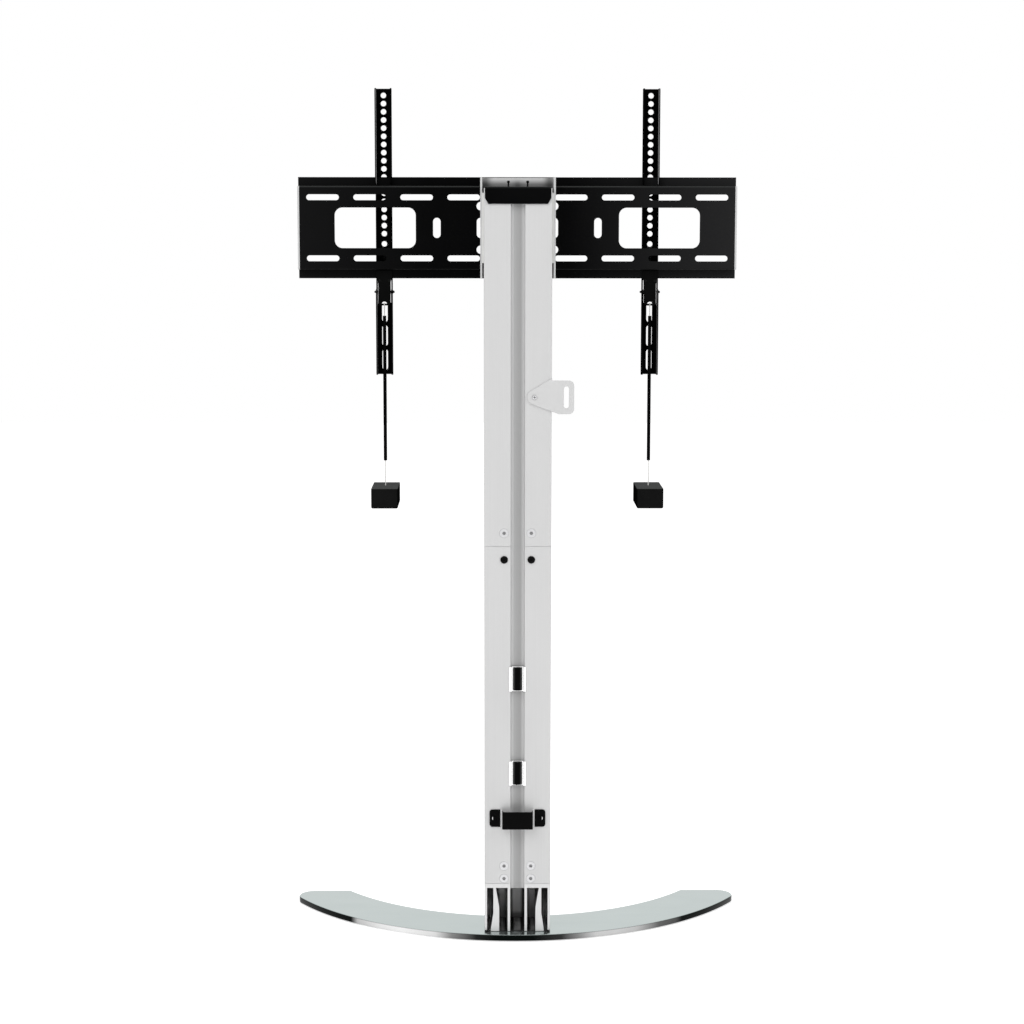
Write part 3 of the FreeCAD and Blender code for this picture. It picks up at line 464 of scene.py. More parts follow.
@dataclass(frozen=True)
class Moulded:
    """Moulded plastic or rubber with a spark-eroded grain.

    The grain and clouds give pattern units per metre, the spread how far the roughness strays.
    Its tones and faces lay painted light and shade over the colour.
    """

    name: str
    low: Triple
    high: Triple
    roughness: float
    gloss: float
    grain: float = 1400.0
    relief: float = 0.00003
    edge: float = 0.0004
    tones: tuple[PaintedTone, ...] = ()
    faces: tuple[tuple[Axis, float], ...] = ()
    clouds: Triple = (35.0, 35.0, 35.0)
    spread: tuple[float, float] = (0.9, 1.1)
    strength: float = 0.3

    def make(self) -> bpy.types.Material:
        """Builds the material: cell pattern for the grain, wide noise for the shade.

        Returns:
            The material.
        """
        g = Graph.of_material(self.name)
        cells = g.add("ShaderNodeTexVoronoi", feature="SMOOTH_F1")
        cells.inputs["Scale"].default_value = 1.0
        g.link(g.object_point((self.grain,) * 3), cells.inputs["Vector"])
        wide = g.noise(self.clouds, 3.0)
        rough = g.span(wide, *(self.roughness * part for part in self.spread))
        shader = g.surface(Specular_IOR_Level=self.gloss)
        colour = g.painted(wide, self.low, self.high, self.tones, self.faces)
        normal = g.bump(cells.outputs["Distance"], self.strength, self.relief, self.edge)
        g.link(colour, shader.inputs["Base Color"])
        g.link(rough, shader.inputs["Roughness"])
        g.link(normal, shader.inputs["Normal"])
        return g.owner


@dataclass(frozen=True)
class BackedGlass:
    """Thick grey-green glass with a bright film on its back and a polished rim.

    The marks give pattern units per metre, the gloss the roughness between clean and wiped spots.
    Its tones paint a dark reflection on the rim and reflected lights on it.
    """

    name: str
    tones: tuple[PaintedTone, ...]
    low: Triple = (0.475, 0.535, 0.525)
    high: Triple = (0.50, 0.56, 0.55)
    metallic: float = 0.92
    marks: Triple = (9.0, 30.0, 9.0)
    gloss: tuple[float, float] = (0.015, 0.05)

    def make(self) -> bpy.types.Material:
        """Builds the material: a mirror-like body with faint wiping marks in the gloss.

        Returns:
            The material.
        """
        g = Graph.of_material(self.name)
        marks = g.noise(self.marks, 4.0)
        shader = g.surface(Metallic=self.metallic, Specular_IOR_Level=0.1)
        g.link(g.painted(marks, self.low, self.high, self.tones), shader.inputs["Base Color"])
        g.link(g.span(marks, *self.gloss), shader.inputs["Roughness"])
        return g.owner


@dataclass(frozen=True)
class TwistedYarn:
    """Thin twisted string: slanted strands, given in pattern units per metre, round its length."""

    name: str
    low: Triple
    high: Triple
    strands: Triple = (500.0, 500.0, 330.0)
    relief: float = 0.0001

    def make(self) -> bpy.types.Material:
        """Builds the material: slanted bands for the strands, in colour and in relief.

        Returns:
            The material.
        """
        g = Graph.of_material(self.name)
        bands = g.add("ShaderNodeTexWave", wave_type="BANDS", bands_direction="DIAGONAL")
        bands.inputs["Scale"].default_value = 1.0
        bands.inputs["Distortion"].default_value = 1.2
        g.link(g.object_point(self.strands), bands.inputs["Vector"])
        shader = g.surface(Roughness=0.85, Specular_IOR_Level=0.2, Sheen_Weight=0.25)
        g.link(g.blend(bands.outputs["Fac"], self.low, self.high), shader.inputs["Base Color"])
        g.link(g.bump(bands.outputs["Fac"], 0.6, self.relief), shader.inputs["Normal"])
        return g.owner


# Column and foot: painted shade in the cable groove, in the foot's open cells and beside the
# head adapter; painted light on the webs' rear faces, inside the cells and on their floors.
# Painted shade inside the cable groove, darkest just right of its middle.
GROOVE_SHADE = PaintedTone((0.0, 0.0, 0.0), (
    (Axis.X, ((-11.1, 0.0), (-10.9, 0.07), (-7.0, 0.1), (-5.5, 0.3), (-1.5, 0.39), (1.5, 0.41),
              (4.5, 0.41), (7.0, 0.2), (10.9, 0.1), (11.1, 0.0))),
    (Axis.Y, ((-97.9, 0.0), (-97.4, 1.0), (-80.0, 1.0), (-79.0, 0.0))),
    (Axis.Z, ((80.4, 0.0), (81.0, 1.0)))))
# Painted light on the rear end faces of the foot's webs.
WEB_FACE_LIGHT = PaintedTone((0.72, 0.72, 0.72), ((Axis.Y, ((-98.4, 1.0), (-97.6, 0.0))),))
# Painted shade inside the foot's open cells, near black.
POCKET_SHADE = PaintedTone((0.0, 0.0, 0.0), (
    (Axis.ASIDE, ((49.2, 1.0), (49.6, 0.0))),
    (Axis.Y, ((-98.5, 0.0), (-97.5, 0.9), (-88.0, 0.985), (-29.6, 0.985), (-29.0, 0.0))),
    (Axis.Z, ((83.2, 1.0), (86.0, 0.0)))))
# Takes the painted cell shade off the groove's floor where it runs through the foot's roof.
GROOVE_END = PaintedTone((0.62, 0.62, 0.62), (
    (Axis.ASIDE, ((11.1, 1.0), (11.3, 0.0))),
    (Axis.Y, ((-79.2, 1.0), (-78.6, 0.0))),
    (Axis.Z, ((80.3, 0.0), (80.6, 1.0)))))
# Painted light inside the foot's middle cell.
MIDDLE_POCKET_LIGHT = PaintedTone((0.74, 0.74, 0.74), (
    (Axis.ASIDE, ((5.0, 1.0), (9.5, 0.0))),
    (Axis.Y, ((-90.0, 0.0), (-80.0, 1.0), (-29.6, 1.0), (-29.0, 0.0))),
    (Axis.Z, ((14.0, 0.3), (19.0, 0.4), (24.0, 1.0), (80.0, 1.0), (80.4, 0.0)))))
# Painted light inside the foot's side cells.
SIDE_POCKET_LIGHT = PaintedTone((0.92, 0.92, 0.92), (
    (Axis.ASIDE, ((16.0, 0.0), (21.0, 1.0), (27.0, 1.0), (33.0, 0.1))),
    (Axis.Y, ((-92.0, 0.0), (-84.0, 1.0), (-29.6, 1.0), (-29.0, 0.0))),
    (Axis.Z, ((14.0, 0.4), (30.0, 0.5), (58.0, 0.85), (83.0, 0.85), (84.0, 0.0)))))
# Painted light inside the foot's outer cells, strongest low down.
OUTER_POCKET_LIGHT = PaintedTone((0.92, 0.92, 0.92), (
    (Axis.ASIDE, ((39.0, 0.0), (42.0, 1.0), (48.3, 1.0), (49.0, 0.0))),
    (Axis.Y, ((-92.0, 0.0), (-84.0, 1.0), (-29.6, 1.0), (-29.0, 0.0))),
    (Axis.Z, ((14.0, 1.0), (30.0, 0.8), (46.0, 0.2), (60.0, 0.0)))))
# Painted light on the rubber under the cells, their floors.
POCKET_FLOOR_LIGHT = PaintedTone((0.6, 0.6, 0.6), (
    (Axis.ASIDE, ((4.0, 1.0), (6.5, 0.0), (19.0, 0.0), (22.5, 1.0), (26.0, 1.0), (29.0, 0.0),
                  (40.0, 0.0), (42.0, 1.0), (46.5, 1.0), (48.0, 0.0))),
    (Axis.Y, ((-97.5, 0.0), (-95.0, 0.1), (-80.0, 0.5), (-60.0, 1.0), (-31.0, 1.0),
              (-30.0, 0.0)))))
# Painted shade on the column's sides in the gaps beside the head adapter.
ADAPTER_GAP_SHADE = PaintedTone((0.0, 0.0, 0.0), (
    (Axis.ASIDE, ((51.7, 0.0), (51.95, 0.9))),
    (Axis.Z, ((1166.0, 0.0), (1168.5, 1.0)))))
# Screws, clips and bridge: painted shade in the sockets, a painted sheen on the clip covers'
# sides, painted highlights on the bridge and on its screw heads.
# Painted shade in the hex socket of the column's screws.
SCREW_SOCKET_SHADE = PaintedTone((0.0, 0.0, 0.0), ((Axis.Y, ((-98.5, 0.0), (-98.2, 0.2), (-97.6, 0.6))),))
# Painted shade in the ear screw's socket.
EAR_SOCKET_SHADE = PaintedTone((0.0, 0.0, 0.0), ((Axis.Y, ((-102.6, 0.0), (-102.2, 0.85))),))
# Painted sheen along the sides of the clip covers.
CLIP_SIDE_SHEEN = PaintedTone((0.10, 0.10, 0.10), ((Axis.ASIDE, ((3.6, 0.0), (5.0, 0.25), (7.2, 1.0))),))
# Painted highlights: two light strips on the cable bridge's walls.
BRIDGE_HIGHLIGHTS = PaintedTone((0.75, 0.75, 0.75), (
    (Axis.ASIDE, ((23.8, 0.0), (24.4, 1.0), (26.5, 1.0), (27.0, 0.0))),))
# Painted highlights: light crescents on the bridge screws' heads.
CRESCENT_HIGHLIGHTS = PaintedTone((0.80, 0.80, 0.80), ((Axis.ASIDE, ((38.2, 0.0), (38.6, 1.0))),))
# Wall plate: a faint painted sheen towards its ends, strongest at the right.
PLATE_SHEEN = PaintedTone((0.0175, 0.0175, 0.018), (
    (Axis.X, ((-340.0, 0.3), (-130.0, 0.0), (80.0, 0.02), (340.0, 1.0))),))
# Head adapter: painted light and shade on its inside above the column.
# Where the adapter's painted light and shade lie: on its inside.
ADAPTER_INSIDE = (Axis.Y, ((-70.0, 0.0), (-35.0, 0.8), (-26.5, 1.0), (-25.8, 0.0)))
# Painted light on the inner wall.
ADAPTER_WALL_LIGHT = PaintedTone((0.73, 0.73, 0.73), ((Axis.ASIDE, ((54.2, 1.0), (54.6, 0.0))), ADAPTER_INSIDE))
# Painted shade on the inner wall, darker downwards.
ADAPTER_FALLING_SHADE = PaintedTone((0.005, 0.005, 0.005), (
    (Axis.ASIDE, ((54.2, 1.0), (54.6, 0.0))), ADAPTER_INSIDE,
    (Axis.Z, ((1178.0, 0.78), (1181.0, 0.77), (1182.7, 0.69), (1184.3, 0.55), (1185.9, 0.4),
              (1187.5, 0.25), (1189.1, 0.12), (1190.7, 0.0)))))
# Painted shade towards the inside corners.
ADAPTER_CORNER_SHADE = PaintedTone((0.005, 0.005, 0.005), (
    (Axis.ASIDE, ((36.0, 0.0), (40.0, 0.12), (43.0, 0.35), (45.0, 0.5), (48.0, 0.7), (51.0, 0.7),
                  (54.2, 0.5), (54.6, 0.0))), ADAPTER_INSIDE,
    (Axis.Z, ((1176.0, 1.0), (1191.6, 0.9)))))
# Painted shadow: a soft dark spot in the middle.
ADAPTER_SHADOW_SPOT = PaintedTone((0.005, 0.005, 0.005), (
    (Axis.ASIDE, ((0.0, 0.58), (2.0, 0.56), (5.0, 0.3), (9.0, 0.08), (12.0, 0.0))), ADAPTER_INSIDE,
    (Axis.Z, ((1181.0, 1.0), (1182.7, 0.83), (1185.9, 0.48), (1189.0, 0.15), (1191.5, 0.05)))))
# Arms and latches: painted highlights along their upright edges, painted light in the flange gaps.
# Painted highlight along the flanges' rear edges.
FLANGE_LIGHT = PaintedTone((0.3, 0.3, 0.3), (
    (Axis.ASIDE, ((218.2, 0.0), (218.4, 1.0), (218.7, 1.0), (218.9, 0.0))),
    (Axis.Y, ((-9.0, 1.0), (-6.0, 0.0))),
    (Axis.Z, ((1044.0, 0.3), (1050.0, 1.0)))))
# Painted light in the narrow gap between each flange and its latch.
FLANGE_GAP_LIGHT = PaintedTone((0.9, 0.9, 0.9), (
    (Axis.ASIDE, ((218.2, 0.0), (218.4, 1.0), (218.5, 1.0), (218.6, 0.0))),
    (Axis.Y, ((-2.0, 0.0), (-1.8, 1.0), (5.0, 1.0), (5.6, 0.0))),
    (Axis.Z, ((994.0, 0.0), (996.0, 1.0), (1044.0, 1.0), (1047.0, 0.0)))))
# Painted highlight along the latches' edges.
LATCH_EDGE_HIGHLIGHTS = PaintedTone((0.65, 0.65, 0.65), (
    (Axis.ASIDE, ((216.7, 0.0), (216.9, 1.0), (217.6, 1.0))),
    (Axis.Y, ((-2.1, 1.0), (-1.9, 0.0))),
    (Axis.Z, ((997.0, 0.0), (999.0, 1.0), (1029.0, 1.0), (1029.8, 0.0)))))
# Glass: a painted dark reflection on the polished rim and painted reflections of lights on it.
# Painted dark reflection all along the rim.
RIM_DARK_REFLECTION = PaintedTone((0.002, 0.003, 0.0027), ((Axis.Z, ((11.2, 1.0), (11.9, 0.0))),))
# Painted reflections of lights on the rim, strongest towards both ends.
RIM_REFLECTED_LIGHTS = PaintedTone((1.0, 1.0, 1.0), (
    (Axis.X, ((-300.0, 0.03), (-272.0, 0.15), (-255.0, 0.38), (-219.0, 0.55), (-185.0, 0.62),
              (-130.0, 0.5), (-105.0, 0.17), (-65.0, 0.01), (-35.0, 0.0), (25.0, 0.0), (70.0, 0.02),
              (96.0, 0.165), (125.0, 0.41), (160.0, 0.42), (190.0, 0.36), (228.0, 0.085),
              (290.0, 0.02))),
    (Axis.Y, ((-30.0, 1.0), (-22.0, 0.0))),
    (Axis.Z, ((11.2, 1.0), (11.9, 0.0)))))


class Finishes:
    """All finishes of the stand, made once and handed to the pieces by name."""

    # tones lay painted light and shade; faces paint faces that look up lighter and the grips' sides
    # darker.
    ALL = (
        BackedGlass("backed_glass", (RIM_DARK_REFLECTION, RIM_REFLECTED_LIGHTS)),
        DrawnMetal("silver_column", (0.622, 0.622, 0.622), (0.652, 0.652, 0.652), 0.5, 0.3,
                   lines=(2400.0, 2400.0, 5.0), relief=0.000002, tones=(GROOVE_SHADE, ADAPTER_GAP_SHADE)),
        DrawnMetal("silver_foot", (0.622, 0.622, 0.622), (0.652, 0.652, 0.652), 0.5, 0.3,
                   lines=(2400.0, 2400.0, 5.0), relief=0.000002,
                   tones=(WEB_FACE_LIGHT, POCKET_SHADE, GROOVE_END, GROOVE_SHADE, MIDDLE_POCKET_LIGHT,
                          SIDE_POCKET_LIGHT, OUTER_POCKET_LIGHT)),
        DrawnMetal("bright_plate", (0.62, 0.62, 0.63), (0.72, 0.72, 0.73), 0.3),
        DrawnMetal("face_screws", (0.60, 0.60, 0.61), (0.68, 0.68, 0.69), 0.34, 0.5,
                   lines=(600.0, 600.0, 600.0), edge=0.0002, tones=(SCREW_SOCKET_SHADE,)),
        DrawnMetal("ear_screw", (0.64, 0.64, 0.65), (0.72, 0.72, 0.73), 0.34, 0.5,
                   lines=(600.0, 600.0, 600.0), edge=0.0002, tones=(EAR_SOCKET_SHADE,)),
        DrawnMetal("zinc_screws", (0.52, 0.52, 0.53), (0.64, 0.64, 0.65), 0.28,
                   lines=(600.0, 600.0, 600.0)),
        DrawnMetal("spring_wire", (0.02, 0.02, 0.02), (0.035, 0.035, 0.035), 0.35,
                   lines=(700.0, 700.0, 700.0)),
        DrawnMetal("clip_chrome", (0.80, 0.80, 0.80), (0.86, 0.86, 0.86), 0.2, edge=0.0008),
        PowderCoat("silver_paint", (0.64, 0.64, 0.64), (0.67, 0.67, 0.67), 0.45, 0.4),
        PowderCoat("adapter_paint", (0.58, 0.58, 0.58), (0.63, 0.63, 0.63), 0.45, 0.3,
                   edge=0.0002,
                   tones=(ADAPTER_WALL_LIGHT, ADAPTER_FALLING_SHADE, ADAPTER_CORNER_SHADE, ADAPTER_SHADOW_SPOT)),
        PowderCoat("black_powder", (0.0014, 0.0014, 0.0015), (0.0024, 0.0024, 0.0025), 0.36, 0.02,
                   faces=((Axis.Z, 0.02),)),
        PowderCoat("arm_powder", (0.0014, 0.0014, 0.0015), (0.0024, 0.0024, 0.0025), 0.5, 0.0,
                   tones=(FLANGE_LIGHT, FLANGE_GAP_LIGHT), faces=((Axis.Z, 0.02),)),
        PowderCoat("plate_powder", (0.0012, 0.0012, 0.0013), (0.0018, 0.0018, 0.0019), 0.36, 0.02,
                   tones=(PLATE_SHEEN,), faces=((Axis.Z, 0.036),)),
        PowderCoat("black_oxide", (0.0025, 0.0025, 0.0025), (0.004, 0.004, 0.004), 0.38, 0.05,
                   faces=((Axis.Z, 0.03),)),
        PowderCoat("bridge_screws", (0.002, 0.002, 0.002), (0.003, 0.003, 0.003), 0.38, 0.03,
                   tones=(CRESCENT_HIGHLIGHTS,)),
        Moulded("black_moulding", (0.0022, 0.0022, 0.0022), (0.0034, 0.0034, 0.0034), 0.7, 0.0,
                faces=((Axis.Z, 0.02),)),
        Moulded("clip_covers", (0.0015, 0.0015, 0.0015), (0.0025, 0.0025, 0.0025), 0.5, 0.02,
                tones=(CLIP_SIDE_SHEEN,)),
        Moulded("cable_bridge", (0.0022, 0.0022, 0.0022), (0.0034, 0.0034, 0.0034), 0.3, 0.02,
                relief=0.00001, tones=(BRIDGE_HIGHLIGHTS,)),
        Moulded("grip_moulding", (0.0068, 0.0068, 0.0068), (0.0092, 0.0092, 0.0092), 0.5, 0.0,
                faces=((Axis.ASIDE, 0.002), (Axis.Z, 0.064))),
        Moulded("latch_moulding", (0.0018, 0.0018, 0.0018), (0.0028, 0.0028, 0.0028), 0.3, 0.03,
                relief=0.00001, tones=(LATCH_EDGE_HIGHLIGHTS,), faces=((Axis.Z, 0.02),)),
        Moulded("grey_moulding", (0.54, 0.54, 0.54), (0.59, 0.59, 0.59), 0.5, 0.4),
        Moulded("pale_nylon", (0.72, 0.72, 0.70), (0.79, 0.79, 0.77), 0.5, 0.4),
        Moulded("dark_rubber", (0.012, 0.012, 0.012), (0.02, 0.02, 0.02), 0.75, 0.1,
                tones=(POCKET_FLOOR_LIGHT,)),
        Moulded("clear_pad", (0.55, 0.58, 0.57), (0.63, 0.66, 0.65), 0.35, 0.5),
        TwistedYarn("pale_yarn", (0.72, 0.71, 0.68), (0.89, 0.88, 0.86)),
    )

    def __init__(self) -> None:
        """Makes every finish."""
        self.made = {finish.name: finish.make() for finish in self.ALL}

    def dress(self, piece: bpy.types.Object, name: str) -> None:
        """Gives a piece one finish all over.

        Args:
            piece: a mesh or curve.
            name: the finish's name.
        """
        piece.data.materials.clear()
        piece.data.materials.append(self.made[name])

    def dress_nodes(self, names: dict[str, str]) -> None:
        """Gives construction nodes their finishes.

        Args:
            names: node name to finish name.
        """
        for node, name in names.items():
            self.dress(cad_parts[node], name)
            log.info("node %s: %s", node, name)


def scene_object(name: str, data: bpy.types.ID) -> bpy.types.Object:
    """Puts a mesh, curve, lamp or camera into the scene.

    Args:
        name: the object's name.
        data: what it shows.

    Returns:
        The new object, at the origin.
    """
    thing = bpy.data.objects.new(name, data)
    bpy.context.scene.collection.objects.link(thing)
    return thing


def mesh_object(name: str, points: np.ndarray, faces: list[list[int]]) -> bpy.types.Object:
    """A mesh object whose place is in its vertices.

    Args:
        name: the piece's name.
        points: one row per vertex, in metres.
        faces: vertex numbers of each face.

    Returns:
        The new object, smooth shaded.
    """
    mesh = bpy.data.meshes.new(name)
    mesh.from_pydata(points.tolist(), [], faces)
    mesh.update()
    mesh.shade_smooth()
    return scene_object(name, mesh)


def ring_faces(rows: int, columns: int) -> list[list[int]]:
    """Quads over a grid of points that closes on itself in both directions.

    Args:
        rows: points along the first direction.
        columns: points along the second direction.

    Returns:
        The four vertex numbers of each quad.
    """
    row, column = np.meshgrid(np.arange(rows), np.arange(columns), indexing="ij")
    next_row, next_column = (row + 1) % rows, (column + 1) % columns
    corners = ((row, column), (row, next_column), (next_row, next_column), (next_row, column))
    quads = np.stack([r * columns + c for r, c in corners], axis=-1)
    return quads.reshape(-1, 4).tolist()


def directions(line: np.ndarray) -> np.ndarray:
    """The way a closed line runs at each of its points, from the point before to the point after.

    Args:
        line: one row per point.

    Returns:
        One unit vector per point.
    """
    ahead = np.roll(line, -1, axis=0) - np.roll(line, 1, axis=0)
    return ahead / np.linalg.norm(ahead, axis=1, keepdims=True)


def arc_points(centre: tuple[float, float], radius: float, start: float, end: float,
               count: int) -> np.ndarray:
    """Points on an arc: the centre plus radius times cosine and sine of evenly spaced angles.

    Args:
        centre: the arc's middle.
        radius: its radius.
        start: first angle in degrees.
        end: last angle in degrees.
        count: how many points.

    Returns:
        One row per point.
    """
    angle = np.radians(np.linspace(start, end, count))
    across, up = radius * np.cos(angle), radius * np.sin(angle)
    return np.stack([centre[0] + across, centre[1] + up], axis=-1)


@dataclass
class PullCord:
    """String, knot and eye loop that hang from one latch."""

    side: Side
    finishes: Finishes
    string_radius: float = 0.7 * MM
    length: float = 305.0 * MM
    knot_size: float = 0.72 * MM
    knot_stretch: float = 1.6
    knot_steps: int = 96
    loop_half_depth: float = 2.15 * MM
    loop_half_height: float = 2.3 * MM
    loop_rise: float = 1.5 * MM
    loop_steps: int = 48
    round_steps: int = 10

    @property
    def body(self) -> str:
        """The body that the cord hangs from."""
        return f"latch_{self.side.word}"

    def build(self) -> None:
        low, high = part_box(f"pull_string_{self.side.word}")
        middle = (low + high) / 2
        route = [(middle.x, middle.y, z) for z in (high.z, middle.z, low.z)]
        string = self.string(route)
        knot = self.knot(route[-1])
        loop = self.eye_loop(route[0])
        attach(string, self.body)
        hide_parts(f"pull_string_{self.side.word}")
        log.info("cord %s", string.name)

    def string(self, route: list[Triple]) -> bpy.types.Object:
        """The string, a round tube along its route.

        Args:
            route: places from the eye down to the knot.

        Returns:
            The string.
        """
        curve = bpy.data.curves.new(f"string_{self.side.word}", "CURVE")
        curve.dimensions = "3D"
        curve.bevel_depth = self.string_radius
        curve.bevel_resolution = 3
        curve.use_fill_caps = True
        spline = curve.splines.new("NURBS")
        spline.points.add(len(route) - 1)
        for point, place in zip(spline.points, route):
            point.co = (*place, 1.0)
        spline.order_u = 3
        spline.use_endpoint_u = True
        string = scene_object(curve.name, curve)
        self.finishes.dress(string, "pale_yarn")
        return string

    def knot(self, place: Triple) -> bpy.types.Object:
        """Overhand knot: the string's own tube along a trefoil, drawn tight.

        Its centre line is ((sin t + 2 sin 2t), (cos t - 2 cos 2t), -sin 3t) times a size, and it
        is stretched a little along the string.

        Args:
            place: the knot's middle.

        Returns:
            The knot.
        """
        t = np.linspace(0, FULL_TURN, self.knot_steps, endpoint=False)
        line = np.stack([np.sin(t) + 2 * np.sin(2 * t), np.cos(t) - 2 * np.cos(2 * t),
                         -np.sin(3 * t)], axis=-1) * self.knot_size
        line[:, 2] *= self.knot_stretch
        piece = self.tube(f"knot_{self.side.word}", line + place)
        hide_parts(f"string_knot_{self.side.word}")
        return piece

    def eye_loop(self, place: Triple) -> bpy.types.Object:
        """Loop of string round the lower bar of the pull eye: an upright oval ring.

        Args:
            place: the top of the string, the underside of the bar.

        Returns:
            The loop.
        """
        t = np.linspace(0, FULL_TURN, self.loop_steps, endpoint=False)
        depth = self.loop_half_depth * np.cos(t)
        height = self.loop_rise + self.loop_half_height * np.sin(t)
        line = np.stack([0 * t, depth, height], axis=-1)
        return self.tube(f"eye_loop_{self.side.word}", line + place)

    def tube(self, name: str, line: np.ndarray) -> bpy.types.Object:
        """String along a closed line: each ring of points stands square to the line's direction.

        Args:
            name: the piece's name.
            line: points along the middle.

        Returns:
            The tube, riding on the latch and dressed as yarn.
        """
        ahead = directions(line)
        helper = np.cross(ahead, (0.37, 0.21, 0.9))
        helper /= np.linalg.norm(helper, axis=1, keepdims=True)
        other = np.cross(ahead, helper)
        turn = np.linspace(0, FULL_TURN, self.round_steps, endpoint=False)[None, :, None]
        round_line = helper[:, None] * np.cos(turn) + other[:, None] * np.sin(turn)
        ring = line[:, None] + self.string_radius * round_line
        piece = mesh_object(name, ring.reshape(-1, 3), ring_faces(len(line), self.round_steps))
        self.finishes.dress(piece, "pale_yarn")
        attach(piece, self.body)
        return piece


@dataclass
class GlassBase:
    """Crescent of thick glass with a rounded, polished rim. Its sizes are in millimetres."""

    finishes: Finishes
    depth: float = 233.9
    band: float = 97.0
    outer_radius: float = 423.7
    inner_radius: float = 347.6
    tip_radius: float = 25.0
    inner_tip_radius: float = 5.0
    rim: float = 1.6
    outer_steps: int = 260
    inner_steps: int = 240
    tip_steps: int = 26
    inner_tip_steps: int = 14
    rim_steps: int = 7

    def outline(self) -> np.ndarray:
        """Outline of the crescent, anticlockwise, with rounded tips, in millimetres.

        The outer arc ends where it meets a circle of the tip radius that also touches the
        straight end, and the inner corners are rounded in the same way.

        Returns:
            One row per point.
        """
        near, tip = -self.depth / 2, self.depth / 2
        outer_y = near + self.outer_radius
        inner_y = near + self.band + self.inner_radius
        reach = self.outer_radius - self.tip_radius
        tip_y = tip - self.tip_radius
        tip_x = math.sqrt(reach ** 2 - (outer_y - tip_y) ** 2)
        turn = math.degrees(math.atan2(tip_y - outer_y, tip_x))
        hold = self.inner_radius + self.inner_tip_radius
        in_y = tip - self.inner_tip_radius
        in_x = math.sqrt(hold ** 2 - (inner_y - in_y) ** 2)
        back = math.degrees(math.atan2(in_y - inner_y, in_x))
        outer = arc_points((0, outer_y), self.outer_radius, -180 - turn, turn, self.outer_steps)
        tip_right = arc_points((tip_x, tip_y), self.tip_radius, turn, 90, self.tip_steps)[1:]
        in_right = arc_points((in_x, in_y), self.inner_tip_radius, 90, 180 + back,
                              self.inner_tip_steps)
        inner = arc_points((0, inner_y), self.inner_radius, back, -180 - back,
                           self.inner_steps)[1:-1]
        in_left = in_right[::-1] * (-1, 1)
        tip_left = tip_right[::-1] * (-1, 1)
        return np.concatenate([outer, tip_right, in_right, inner, in_left, tip_left])

    def build(self) -> None:
        """Carries a rounded edge profile round the outline and closes it with two flat faces.

        The profile is a quarter circle below, an upright side and a quarter circle above.
        """
        low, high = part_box("glass_base")
        path = self.outline()
        ahead = directions(path)
        outward = np.stack([ahead[:, 1], -ahead[:, 0]], axis=-1)
        turn = np.radians(np.linspace(-90, 0, self.rim_steps))
        inset = self.rim * (1 - np.cos(turn))
        rise = self.rim * (1 + np.sin(turn))
        tall = (high.z - low.z) / MM
        inset = np.concatenate([inset, inset[::-1]])
        level = np.concatenate([rise, tall - rise[::-1]])
        rows, columns = len(path), len(inset)
        grid = np.zeros((rows, columns, 3))
        grid[:, :, :2] = path[:, None] - outward[:, None] * inset[None, :, None]
        grid[:, :, 2] = level[None] + low.z / MM
        sides = [face for face in ring_faces(rows, columns) if not self.is_cap(face, columns)]
        bottom = list(range(0, rows * columns, columns))
        top = list(range(columns - 1, rows * columns, columns))
        piece = mesh_object("crescent_glass", grid.reshape(-1, 3) * MM,
                            sides + [bottom[::-1], top])
        for polygon in piece.data.polygons[-2:]:
            polygon.use_smooth = False
        self.finishes.dress(piece, "backed_glass")
        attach(piece, "stand")
        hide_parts("glass_base")
        log.info("glass base: %d points round", rows)

    @staticmethod
    def is_cap(face: list[int], columns: int) -> bool:
        """Whether a quad runs from the last profile point back to the first.

        Args:
            face: vertex numbers.
            columns: points of the profile.

        Returns:
            True for a quad that the two flat faces stand in for.
        """
        return {number % columns for number in face} == {0, columns - 1}


@dataclass(frozen=True)
class Lamp:
    """A soft square lamp: its place, what it points at, its side in metres, its watts."""

    name: str
    place: Triple
    aim: Triple
    size: float
    power: float


